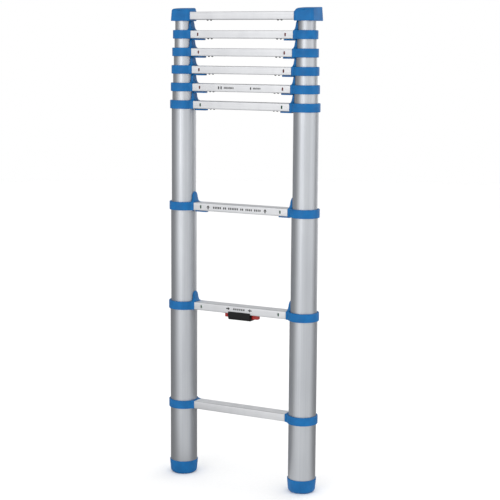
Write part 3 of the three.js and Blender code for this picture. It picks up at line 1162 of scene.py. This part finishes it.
@dataclass(frozen=True)
class Collar(RungHolder):
    """A moulded collar, with its top at height 0."""

    wall: float = 4.5
    lip: float = 3.0
    edge: float = 1.8             # the band's rounded edges
    fillet: float = 4.0
    bolt_bore: float = 5.4
    fin_tip: float = 2.8          # the fin's thickness at its top
    fin_slope: float = 0.13       # how fast it thickens downwards
    fin_flare: float = 5.5        # how much further its foot reaches over the rung
    flare_height: float = 4.5     # the height in which that dies away
    flare_half_width: float = 13.0
    fin_half_width: float = 11.0
    fin_crown: float = 14.0       # height of its rounded top
    fin_spread: float = 6.5       # how much wider its foot is, each way
    spread_height: float = 2.8    # the height in which that dies away
    tongue_reach: float = 34.5
    tongue_half_width: float = 8.5
    tongue_thickness: float = 4.0
    tongue_end: float = 4.0

    @property
    def has_fin(self) -> bool:
        """Whether another section slides through this collar."""
        return self.rung > 1

    @property
    def inner(self) -> float:
        """The radius of the bore that the next tube slides through."""
        return LAYOUT.radius(LAYOUT.section_of(self.rung) + 1) + self.tube_gap

    @property
    def fin_height(self) -> float:
        """How far the fin stands above the band, from the CAD frame."""
        box = Extent.of(f"collar_{self.rung}_right")
        return box.high[2] - LAYOUT.collar_top(self.rung)

    def fin(self, x: Array, y: Array, z: Array, face: float) -> Array:
        """The release fin, which flares into a foot over the rung's end.

        Args:
            x: Places along X.
            y: Places along Y.
            z: Places along Z.
            face: The distance from the axis to the block's face.

        Returns:
            The distance to the fin.
        """
        up = np.maximum(z, 0)
        below = np.maximum(self.fin_height - up, 0)
        flare = self.fin_flare * np.exp(-up / self.flare_height - (y / self.flare_half_width) ** 2)
        thickness = self.fin_tip + self.fin_slope * below + flare
        lean = np.hypot(1, self.fin_slope + flare / self.flare_height)
        front = (x - self.inner - thickness) / lean
        spread = self.fin_spread * np.exp(-up / self.spread_height)
        half = self.fin_half_width + spread
        crown = np.maximum(1 - below / self.fin_crown, 0)
        sides = (np.hypot(y / half, crown) - 1) * half / np.hypot(1, spread / self.spread_height)
        wall = meet(meet(front, sides, 0.9), z - self.fin_height, 0.6)
        wall = np.maximum(np.maximum(wall, self.inner / 2 - x), x - face - self.fin_flare)
        return np.maximum(wall, LAYOUT.fit_gap - LAYOUT.rung_inset - z)

    def tongue(self, x: Array, y: Array, z: Array, face: float) -> Array:
        """The tongue under the rung.

        Args:
            x: Places along X.
            y: Places along Y.
            z: Places along Z.
            face: The distance from the axis to the block's face.

        Returns:
            The distance to the tongue.
        """
        plan = rounded_rectangle(x, y, self.radius / 2, face + self.tongue_reach,
                                 -self.tongue_half_width, self.tongue_half_width, self.tongue_end)
        top = -self.height + LAYOUT.rung_inset - LAYOUT.fit_gap
        return meet(plan, between(z, -self.height - self.tongue_thickness, top), 0.8)

    def shape(self, x: Array, y: Array, z: Array) -> Array:
        """The whole collar, as a signed distance.

        Args:
            x: Places along X.
            y: Places along Y.
            z: Places along Z.

        Returns:
            The distance to the collar.
        """
        face = LAYOUT.block_face(self.rung)
        out = np.hypot(x, y)
        band = rounded_rectangle(out, z, -1, self.radius + self.wall, -self.height, 0, self.edge)
        whole = union(band, self.socket(x, y, z, face), self.fillet)
        whole = np.maximum(whole, between(z, -self.height, 0))
        bore = self.radius + LAYOUT.fit_gap
        if not self.has_fin:
            return cut(whole, np.maximum(out - bore, between(z, -2 * self.height, 5)), 0.6)
        whole = union(whole, self.fin(x, y, z, face), 1.2)
        if self.rung > 2:
            whole = union(whole, self.tongue(x, y, z, face), 1.2)
            whole = cut(whole, self.pocket(x, y, z), 0.6)
        whole = cut(whole, out - self.inner, 0.8)
        whole = cut(whole, np.maximum(out - bore, between(z, -2 * self.height, -self.lip)), 0.6)
        hole = np.maximum(np.hypot(y, z + self.height / 2) - self.bolt_bore, -x)
        return cut(whole, hole, 0.4)

    def build(self) -> None:
        """Makes the collar once and sets a copy on each stile."""
        face = LAYOUT.block_face(self.rung)
        out = self.radius + self.wall
        reach = face + (self.tongue_reach if self.rung > 2 else self.spigot_depth)
        top = self.fin_height if self.has_fin else 0
        surface = MOULDER.mesh(self.shape, (-out, -out, -self.height - self.tongue_thickness),
                               (reach, out, top))
        add_pair(f"collar_{self.rung}", surface, LAYOUT.body_of(self.rung),
                 LAYOUT.collar_top(self.rung))


@dataclass(frozen=True)
class TopCap(RungHolder):
    """The cap on the last tube, with the bumper that leans on the wall."""

    rung: int = TOP_RUNG
    front_corner: float = 11.0
    outer_corner: float = 9.0
    back_cut: float = 23.0
    crown: float = 8.0            # radius of the upper edge, up to twice that at the rung and
                                  # down to a tenth of it at the outer back
    crown_slope: float = 0.15     # the top falls this steeply towards the user
    rung_raise: float = 2.4
    roof: float = 9.0
    draft: float = 0.06           # the walls lean in by this much towards the top

    def shape(self, x: Array, y: Array, z: Array) -> Array:
        """The whole cap, as a signed distance.

        Args:
            x: Places along X.
            y: Places along Y.
            z: Places along Z.

        Returns:
            The distance to the cap.
        """
        box = Extent.of("top_cap_left")
        outer = -(box.low[0] + LAYOUT.stile_x)
        front, back = box.low[1], box.high[1]
        top = box.high[2] - LAYOUT.collar_top(TOP_RUNG)
        face = LAYOUT.block_face(TOP_RUNG)
        lean = self.draft * (z + self.height)
        outside = -x - outer + lean
        ahead = front - y + lean
        behind = y - back + lean
        inward = x - face
        slope = (z - top - self.crown_slope * y) / math.hypot(1, self.crown_slope)
        crown = self.crown * (1 + np.clip(x / face, 0, 1))
        lid = meet(slope, z - top, self.crown)
        body = meet(meet(inward, ahead, self.front_corner), lid, crown)
        crown = self.crown * np.clip(-y / self.radius, 0.1, 1)
        body = meet(body, meet(meet(outside, ahead, self.outer_corner), lid, crown), 0.1)
        diagonal = (x + y - (face + back - self.back_cut)) / math.sqrt(2)
        rear = meet(meet(outside, behind, 2.5), diagonal, 3.0)
        body = meet(body, meet(rear, z - top, 2.2), 0.1)
        body = meet(body, -self.height - z, 1.5)
        socket = self.socket(x, y, z - self.rung_raise, face)
        socket = np.maximum(socket, -self.height - z)
        body = union(body, socket, 1.5)
        bore = np.maximum(np.hypot(x, y) - self.radius - LAYOUT.fit_gap, z - (top - self.roof))
        return cut(cut(body, self.pocket(x, y, z), 0.6), bore, 0.6)

    def build(self) -> None:
        """Makes the cap once and sets a copy on each stile."""
        box = Extent.of("top_cap_left")
        datum = LAYOUT.collar_top(TOP_RUNG)
        low = (box.low[0] + LAYOUT.stile_x, box.low[1], -self.height)
        high = (box.high[0] + LAYOUT.stile_x, box.high[1], box.high[2] - datum)
        surface = MOULDER.mesh(self.shape, low, high)
        add_pair("top_cap", surface, LAYOUT.body_of(TOP_RUNG), datum)


# ---- Feet ---------------------------------------------------------------------------------------


@dataclass(frozen=True)
class Foot:
    """A blue foot that the bottom tube stands in, with a treaded sole."""

    wall: float = 2.4
    taper: float = 2.9
    bevel: float = 5.0
    seat: float = 24.0
    ledge: float = 9.0
    floor: float = 6.0
    tread_pitch: float = 7.0
    tread_width: float = 2.4
    tread_depth: float = 1.6
    tube_gap: float = 0.05
    cell: float = 0.8             # its wall is thin where the tube ends

    def shape(self, x: Array, y: Array, z: Array) -> Array:
        """The foot, as a signed distance.

        Args:
            x: Places along X.
            y: Places along Y.
            z: Places along Z.

        Returns:
            The distance to the foot.
        """
        height = Extent.of("foot_left").high[2]
        bore = LAYOUT.radius(1) + self.tube_gap
        out = np.hypot(x, y)
        lean = self.taper * (height - z) / (height - self.bevel)
        side = out - (bore + self.wall - lean)
        waist = bore + self.wall - self.taper
        bevel = (out - z - (waist - self.bevel)) / math.sqrt(2)
        body = meet(meet(side, z - height, 1.1), meet(bevel, -z, 1.0), 2.5)
        body = cut(body, np.maximum(out - bore, self.seat - z), 0.5)
        body = cut(body, np.maximum(out - bore + self.ledge, between(z, self.floor, self.seat + 1)), 1)
        groove = np.abs(np.mod(y + self.tread_pitch / 2, self.tread_pitch) - self.tread_pitch / 2)
        return cut(body, np.maximum(groove - self.tread_width / 2, z - self.tread_depth), 0.5)

    def build(self) -> None:
        """Makes the foot once and sets a copy under each stile."""
        box = Extent.of("foot_left")
        out = LAYOUT.radius(1) + self.wall + 1
        surface = Moulder(self.cell).mesh(self.shape, (-out, -out, 0), (out, out, box.high[2]))
        add_pair("foot", surface, "section_1", mirrored=False)


# ---- Lock bolts and their flags -----------------------------------------------------------------


@dataclass(frozen=True)
class LockBolt:
    """The spring bolt in one end of a rung, with the flag that shows in the rung's window."""

    rung: int
    side: Side
    radius: float = 5.0
    chamfer: float = 1.2
    tail_radius: float = 3.0
    tail: float = 14.0
    groove: float = 0.6
    groove_steps: tuple[float, ...] = (3.0, 2.8, 2.0, 1.8)   # from the tail's end
    tail_chamfer: float = 0.5
    stem_inset: float = 0.6       # from the flag's edges to its stem's
    stem_half_height: float = 1.5
    flag_thickness: float = 1.2
    flag_gap: float = 0.2         # between the flag and the rung's front wall
    flag_half_height: float = 6.0
    flag_width: float = 8.0
    travel: float = 4.0
    nose_gap: float = 0.5         # the round tube stands this far beyond the CAD tube's flats

    @property
    def locked(self) -> bool:
        """Whether this bolt's flag shows green."""
        return self.rung <= TOP_LOCKED_RUNG

    def build(self) -> None:
        """Makes the bolt and its flag."""
        node = f"lock_bolt_{self.rung}_{self.side.word}"
        box = Extent.of(node)
        nose, end = (box.low[0], box.high[0]) if self.side is Side.LEFT else (box.high[0], box.low[0])
        nose -= self.side.value * self.nose_gap
        length = abs(end - nose)
        thick = length - self.tail
        steps = [length - step for step in self.groove_steps]
        bottom = self.tail_radius - self.groove
        profile = [
            (0, 0), (self.radius - self.chamfer, 0), (self.radius, self.chamfer),
            (self.radius, thick - self.chamfer), (self.radius - self.chamfer, thick),
            (self.tail_radius, thick), (self.tail_radius, steps[0]), (bottom, steps[1]),
            (bottom, steps[2]), (self.tail_radius, steps[3]),
            (self.tail_radius, length - self.tail_chamfer),
            (self.tail_radius - self.tail_chamfer, length), (0, length),
        ]
        bolt = turned_to_x(lathe(profile, 40), -self.side.value)
        z = (box.low[2] + box.high[2]) / 2
        add_piece(f"{node}_pin", bolt.placed(nose, 0, z), ZINC, node, node)
        self.build_flag(node, z)

    def build_flag(self, body: str, z: float) -> None:
        """Makes the flag behind the window.

        Args:
            body: The body that the flag moves with.
            z: The bolt's height.
        """
        rung = Rung(self.rung)
        box = Extent.of(rung.node)
        window = self.side.value * (box.high[0] - rung.window_from_end)
        front = box.low[1] + rung.wall + self.flag_gap
        near = window - self.side.value * self.flag_width / 4
        far = window + self.side.value * self.flag_width / 4
        shown = GREEN_NYLON if self.locked else FLAG_RED
        self.plate(f"flag_{body}", near, far, front, z, shown, body)
        if self.locked:
            beyond = far + self.side.value * self.travel
            self.plate(f"flag_open_{body}", far, beyond, front, z, FLAG_RED, body)

    def plate(self, name: str, start: float, end: float, front: float, z: float,
              finish: Finish, body: str) -> None:
        """Makes one plate of a flag, with the stem that joins it to the bolt.

        Args:
            name: The plate's name.
            start: Where it starts along X.
            end: Where it ends along X.
            front: The place of its front.
            z: The height of its middle.
            finish: Its finish.
            body: The body that it moves with.
        """
        low, high = min(start, end), max(start, end)
        loop = rounded_loop(low, high, z - self.flag_half_height, z + self.flag_half_height, 0.5)
        face = prism([loop], front, front + self.flag_thickness, Along.Y)
        stem = rounded_loop(low + self.stem_inset, high - self.stem_inset,
                            z - self.stem_half_height, z + self.stem_half_height, 0.4)
        arm = prism([stem], front + self.flag_thickness, -self.tail_radius + 0.2, Along.Y)
        add_piece(name, face.joined(arm), finish, body)


# ---- The release under the second rung ----------------------------------------------------------


@dataclass(frozen=True)
class Release:
    """The black housing under the second rung, and the two red grips that draw its bolts."""

    lap: float = 5.5
    wall: float = 2.8
    bevel: float = 5.0
    edge: float = 1.2
    grip_half_width: float = 8.0
    grip_height: float = 12.5
    grip_gap: float = 0.6
    grip_round: float = 5.0
    grip_from: float = 5.0        # the grip's inner end, from the rung's middle
    grip_reach: float = 19.0      # beyond the housing
    grip_margin: float = 1.0      # room round the grip while it is meshed
    rib_pitch: float = 3.0
    rib_half_width: float = 0.8   # of the groove between two ribs
    rib_depth: float = 0.7
    rib_length: float = 13.0      # from the grip's outer end
    rib_free: float = 2.5         # plain strip at the grip's outer end
    post_length: float = 8.0
    bar_half_width: float = 6.0
    bar_half_height: float = 2.0
    bolt_radius: float = 5.0

    def housing(self, x: Array, y: Array, z: Array) -> Array:
        """The housing, as a signed distance, with the rung's underside at height 0.

        Args:
            x: Places along X.
            y: Places along Y.
            z: Places along Z.

        Returns:
            The distance to the housing.
        """
        box = Extent.of("release_housing")
        rung = Extent.of("rung_2")
        half, depth = box.high[0], box.high[1]
        bottom = box.low[2] - rung.low[2]
        sides = rounded_rectangle(y, z, -depth, depth, bottom, self.lap, 0.9)
        cuts = (np.abs(y) - z - (depth - bottom - self.bevel)) / math.sqrt(2)
        body = meet(meet(sides, cuts, 2.0), np.abs(x) - half, self.edge)
        space = np.maximum(np.abs(y) - rung.high[1] - LAYOUT.fit_gap, -LAYOUT.fit_gap - z)
        body = cut(body, space, 0.4)
        base = -LAYOUT.fit_gap - 2 * self.grip_gap - self.grip_height
        tunnel = rounded_rectangle(y, z, -self.grip_half_width - self.grip_gap,
                                   self.grip_half_width + self.grip_gap, base, 6.0, 0.8)
        return cut(body, tunnel, 0.6)

    def grip(self, x: Array, y: Array, z: Array) -> Array:
        """The right grip, as a signed distance, with the rung's underside at height 0.

        Args:
            x: Places along X.
            y: Places along Y.
            z: Places along Z.

        Returns:
            The distance to the grip.
        """
        outer = Extent.of("release_slide_right")
        rung = Extent.of("rung_2")
        end = Extent.of("release_housing").high[0] + self.grip_reach
        top = -LAYOUT.fit_gap - self.grip_gap
        base = outer.low[2] - rung.low[2]
        plan = rounded_rectangle(x, y, self.grip_from - 8, end, -self.grip_half_width,
                                 self.grip_half_width, self.grip_round)
        body = meet(meet(plan, self.grip_from - x, 0.6), between(z, base, top), 1.3)
        wave = np.abs(np.mod(x - end, self.rib_pitch) - self.rib_pitch / 2)
        zone = np.maximum(end - self.rib_length - x, x - end + self.rib_free)
        rim = np.maximum(self.grip_half_width - self.rib_depth - np.abs(y), zone)
        return cut(body, np.maximum(wave - self.rib_half_width, rim), 0.5)

    def build(self) -> None:
        """Makes the housing, the grips and the bars that they pull."""
        rung = Extent.of("rung_2")
        box = Extent.of("release_housing")
        base = rung.low[2]
        low = (-box.high[0], -box.high[1], box.low[2] - base)
        high = (box.high[0], box.high[1], self.lap)
        housing = MOULDER.mesh(self.housing, low, high)
        add_piece("release_housing_moulding", housing.placed(z=base), BLACK_NYLON, "section_1",
                  "release_housing")
        slide = Extent.of("release_slide_right")
        half = self.grip_half_width + self.grip_margin
        grip = MOULDER.mesh(self.grip, (self.grip_from, -half, slide.low[2] - base),
                            (box.high[0] + self.grip_reach, half, 0))
        for side in Side:
            body = f"release_{side.word}"
            node = f"release_slide_{side.word}"
            placed = grip.placed(z=base, mirror=side is Side.LEFT)
            add_piece(f"release_grip_{side.word}", placed, RED_NYLON, body, node)
            self.build_bar(side, body, base)

    def build_bar(self, side: Side, body: str, base: float) -> None:
        """Makes the steel bar inside the rung, its post, its bolt and its flag.

        Args:
            side: The side that it reaches to.
            body: The body that it moves with.
            base: The height of the rung's underside.
        """
        slide = Extent.of(f"release_slide_{side.word}")
        nose = slide.high[0] if side is Side.RIGHT else slide.low[0]
        bolt = LockBolt(3, side)
        nose -= side.value * bolt.nose_gap
        third = Extent.of(f"lock_bolt_3_{side.word}")
        length = third.high[0] - third.low[0] - bolt.tail
        z = LAYOUT.collar_top(2) - LAYOUT.collar_height / 2
        tail = nose - side.value * length
        start = side.value * self.grip_from
        ends = sorted((start, tail + side.value * 1.0))
        section = rounded_loop(-self.bar_half_width, self.bar_half_width, z - self.bar_half_height,
                               z + self.bar_half_height, 0.8)
        bar = prism([section], ends[0], ends[1], Along.X)
        post_ends = sorted((start, start + side.value * self.post_length))
        plan = rounded_loop(post_ends[0], post_ends[1], -self.bar_half_width, self.bar_half_width, 1)
        post = prism([plan], base - 2.5, z - self.bar_half_height, Along.Z)
        add_piece(f"release_bar_{side.word}", bar.joined(post), ZINC, body)
        chamfer = bolt.chamfer
        profile = [(0, 0), (self.bolt_radius - chamfer, 0), (self.bolt_radius, chamfer),
                   (self.bolt_radius, length - chamfer), (self.bolt_radius - chamfer, length),
                   (0, length)]
        pin = turned_to_x(lathe(profile, 40), -side.value)
        add_piece(f"release_pin_{side.word}", pin.placed(nose, 0, z), ZINC, body)
        LockBolt(2, side, tail_radius=self.bar_half_width).build_flag(body, z)


# ---- Rivets and printed marks -------------------------------------------------------------------


@dataclass(frozen=True)
class StopRivets:
    """The two black rivets under each end of a rung, which hold the bolt's spring stop."""

    rung: int
    radius: float = 3.2
    proud: float = 2.6
    places: tuple[float, ...] = (46.0, 57.0)   # from the rung's end

    def build(self) -> None:
        """Makes the rivets, two to each end."""
        box = Extent.of(f"rung_{self.rung}")
        dome = [(0, -self.proud)]
        for step in range(1, 7):
            turn = step / 6 * math.pi / 2
            dome.append((self.radius * math.sin(turn), -self.proud * math.cos(turn)))
        dome += [(self.radius, 0.0), (self.radius * 0.55, 0.0), (self.radius * 0.55, 1.5), (0, 1.5)]
        rivet = lathe(dome, 24)
        for side in Side:
            for number, place in enumerate(self.places, start=1):
                x = side.value * (box.high[0] - place)
                add_piece(f"stop_rivet_{self.rung}_{side.word}_{number}",
                          rivet.placed(x, 0, box.low[2] - 0.05), BLACK_NYLON,
                          LAYOUT.body_of(self.rung))


BAR_SHARE = 0.62                  # of the pitch that a printed bar covers


class Mark(Enum):
    """The kinds of printed mark. None is a letter or a word."""

    ARROW_UP = "arrow_up"
    ARROW_LEFT = "arrow_left"
    ARROW_RIGHT = "arrow_right"
    BLOCK = "block"


@dataclass(frozen=True)
class PrintedMark:
    """One mark on the front of a rung."""

    kind: Mark
    x: float                      # its middle
    width: float
    height: float = 6.0

    def outline(self) -> Loop:
        """Draws the mark about its own middle.

        Returns:
            Its outline, counter-clockwise.
        """
        w, h = self.width / 2, self.height / 2
        if self.kind is Mark.BLOCK:
            return rounded_loop(-w, w, -h, h, 0.6, 2)
        shaft, barb = 0.32 * h, -0.2 * w
        arrow = [(-w, -shaft), (0.0, -shaft), (barb, -h), (w, 0.0), (barb, h), (0.0, shaft),
                 (-w, shaft)]
        if self.kind is Mark.ARROW_LEFT:
            return [(-u, -v) for u, v in arrow]
        if self.kind is Mark.ARROW_UP:
            return [(-v * w / h, u * h / w) for u, v in arrow]
        return arrow


def bar_groups(start: float, counts: Sequence[int], pitch: float,
               height: float) -> tuple[PrintedMark, ...]:
    """Sets groups of plain bars in a row.

    Args:
        start: Where the first group starts.
        counts: How many bars each group has.
        pitch: The distance from bar to bar, and the gap between groups.
        height: The bars' height.

    Returns:
        The bars.
    """
    bars = []
    place = 0
    for count in counts:
        for step in range(count):
            middle = start + (place + step + 0.5) * pitch
            bars.append(PrintedMark(Mark.BLOCK, middle, BAR_SHARE * pitch, height))
        place += count + 1
    return tuple(bars)


@dataclass(frozen=True)
class RungPrint:
    """The printed marks on one rung."""

    rung: int
    marks: tuple[PrintedMark, ...]
    lift: float = 0.0             # of the marks above the rung's middle
    ink: float = 0.08             # how far the ink stands proud
    sunk: float = 0.02            # how far it reaches into the metal

    def build(self) -> None:
        """Prints the marks on the rung's front."""
        box = Extent.of(f"rung_{self.rung}")
        middle = (box.low[2] + box.high[2]) / 2 + self.lift
        front = box.low[1]
        parts = []
        for mark in self.marks:
            moved = [(u + mark.x, v + middle) for u, v in mark.outline()]
            parts.append(prism([moved], front - self.ink, front + self.sunk, Along.Y))
        add_piece(f"rung_print_{self.rung}", parts[0].joined(*parts[1:]), PRINT,
                  LAYOUT.body_of(self.rung))


# ---- The whole ladder ---------------------------------------------------------------------------


@dataclass(frozen=True)
class Ladder:
    """Every piece of the ladder, in the order that it goes together."""

    prints: tuple[RungPrint, ...] = field(default_factory=lambda: (
        RungPrint(2, (PrintedMark(Mark.ARROW_RIGHT, -36.0, 12.0, 10.0),
                      *bar_groups(-20.0, (6,), 6.4, 5.4),
                      PrintedMark(Mark.ARROW_LEFT, 34.0, 12.0, 10.0)), lift=2.6),
        RungPrint(3, (PrintedMark(Mark.ARROW_UP, -102.0, 11.0, 12.0),
                      *bar_groups(-87.0, (5, 2, 6, 2, 4, 4), 5.5, 6.0),
                      PrintedMark(Mark.ARROW_UP, 80.0, 11.0, 12.0))),
        RungPrint(5, (PrintedMark(Mark.BLOCK, -69.0, 4.0, 8.0),
                      PrintedMark(Mark.BLOCK, -61.0, 4.0, 8.0),
                      *bar_groups(-53.0, (8,), 4.0, 5.4),
                      PrintedMark(Mark.BLOCK, 32.0, 3.4, 7.0),
                      *bar_groups(39.0, (6,), 4.0, 5.0))),
    ))

    def build(self) -> None:
        """Makes every piece and reports it."""
        pieces = [Foot()]
        pieces += [StileTube(section, side) for section in range(1, SECTIONS + 1) for side in Side]
        pieces += [Collar(rung) for rung in range(1, TOP_RUNG)]
        pieces += [TopCap()]
        pieces += [Rung(rung) for rung in range(1, TOP_RUNG + 1)]
        pieces += [LockBolt(rung, side) for rung in range(3, TOP_RUNG) for side in Side]
        pieces += [StopRivets(rung) for rung in range(3, TOP_RUNG + 1)]
        pieces += [Release(), *self.prints]
        for piece in pieces:
            piece.build()
            LOG.info("built %s", piece)


# ---- Studio -------------------------------------------------------------------------------------


@dataclass(frozen=True)
class SoftBox:
    """A soft studio light, aimed at the middle of the ladder."""

    name: str
    azimuth: float                # degrees from the front towards +X
    elevation: float
    distance: float               # metres, as the sizes here
    width: float
    height: float
    power: float

    def build(self, target: Vector) -> None:
        """Hangs the light.

        Args:
            target: What it is aimed at, in metres.
        """
        light = bpy.data.lights.new(self.name, "AREA")
        light.shape = "RECTANGLE"
        light.size, light.size_y = self.width, self.height
        light.energy = self.power
        lamp = bpy.data.objects.new(self.name, light)
        bpy.context.scene.collection.objects.link(lamp)
        away = direction(self.azimuth, self.elevation)
        lamp.location = target + away * self.distance
        lamp.rotation_euler = away.to_track_quat("Z", "Y").to_euler()


def direction(azimuth: float, elevation: float) -> Vector:
    """Gives the unit vector from the object towards a viewer.

    Args:
        azimuth: Degrees from the front towards +X.
        elevation: Degrees above the ground.

    Returns:
        The vector.
    """
    a, e = math.radians(azimuth), math.radians(elevation)
    return Vector((math.sin(a) * math.cos(e), -math.cos(a) * math.cos(e), math.sin(e)))


@dataclass(frozen=True)
class Studio:
    """The camera, the lights, the pale surroundings and the floor."""

    azimuth: float = 27.44
    elevation: float = 8.48
    roll: float = 0.40
    distance: float = 3.865       # metres, as are the other lengths here
    target: tuple[float, float, float] = (0.031, 0.0, 0.680)
    focal_length: float = 98.26   # millimetres on a 36 mm sensor
    shift: tuple[float, float] = (-0.00485, 0.0003)
    floor_radius: float = 9.0
    floor_sides: int = 64
    sky: str = "#ffffff"
    ambient: float = 1.1          # how much light the surroundings give to matt surfaces
    lights: tuple[SoftBox, ...] = (
        SoftBox("key_softbox", -4.0, 14.0, 3.0, 1.5, 2.4, 15.0),
        SoftBox("fill_softbox", 100.0, 6.0, 3.0, 1.8, 2.4, 11.0),
        SoftBox("back_softbox", 165.0, 8.0, 3.0, 2.0, 2.4, 14.0),
    )

    def build(self) -> None:
        """Sets up everything round the ladder."""
        self.build_camera()
        self.build_world()
        self.build_floor()
        for light in self.lights:
            light.build(Vector(self.target))

    def build_camera(self) -> None:
        """Sets the camera."""
        back = direction(self.azimuth, self.elevation)
        right = Vector((0, 0, 1)).cross(back).normalized()
        up = back.cross(right)
        turn = math.radians(self.roll)
        rolled_right = right * math.cos(turn) + up * math.sin(turn)
        rolled_up = up * math.cos(turn) - right * math.sin(turn)
        camera = bpy.data.cameras.new("camera")
        camera.lens = self.focal_length
        camera.sensor_width = 36.0
        camera.shift_x, camera.shift_y = self.shift
        seat = bpy.data.objects.new("camera", camera)
        bpy.context.scene.collection.objects.link(seat)
        place = Matrix((rolled_right, rolled_up, back)).transposed().to_4x4()
        place.translation = Vector(self.target) + back * self.distance
        seat.matrix_world = place
        bpy.context.scene.camera = seat

    def build_world(self) -> None:
        """Makes surroundings that are white to look at, with the studio's glow in reflections."""
        world = bpy.data.worlds.new("studio")
        bpy.context.scene.world = world
        world.use_nodes = True
        tree = world.node_tree
        shown = tree.nodes["Background"]
        shown.inputs["Color"].default_value = linear(self.sky)
        shown.inputs["Strength"].default_value = 1.0
        ambient = add_node(tree, "ShaderNodeBackground",
                           values={"Color": linear(self.sky), "Strength": self.ambient})
        place = add_node(tree, "ShaderNodeTexCoord")
        glow = add_node(tree, "ShaderNodeBackground", values={"Color": linear(self.sky)},
                        links={"Strength": GLOW.strength(tree, place.outputs["Generated"])})
        path = add_node(tree, "ShaderNodeLightPath")
        unseen = add_node(tree, "ShaderNodeMixShader",
                          links={0: path.outputs["Is Glossy Ray"], 1: ambient.outputs[0],
                                 2: glow.outputs[0]})
        mix = add_node(tree, "ShaderNodeMixShader",
                       links={0: path.outputs["Is Camera Ray"], 1: unseen.outputs[0],
                              2: shown.outputs[0]})
        tree.links.new(mix.outputs[0], tree.nodes["World Output"].inputs["Surface"])
        bpy.context.scene.view_settings.view_transform = "Standard"

    def build_floor(self) -> None:
        """Lays the floor."""
        turns = [step * 2 * math.pi / self.floor_sides for step in range(self.floor_sides)]
        rim = [(self.floor_radius * math.cos(turn), self.floor_radius * math.sin(turn))
               for turn in turns]
        points = np.array([(x / MM, y / MM, 0.0) for x, y in rim])
        mesh = Surface(points, [list(range(self.floor_sides))]).mesh("floor")
        mesh.materials.append(FLOOR.material())
        floor = bpy.data.objects.new("floor", mesh)
        bpy.context.scene.collection.objects.link(floor)


def main() -> None:
    """Builds the ladder in its studio."""
    logging.basicConfig(level=logging.INFO, format="%(name)s: %(message)s")
    Studio().build()
    Ladder().build()


if __name__ == "__main__":
    main()
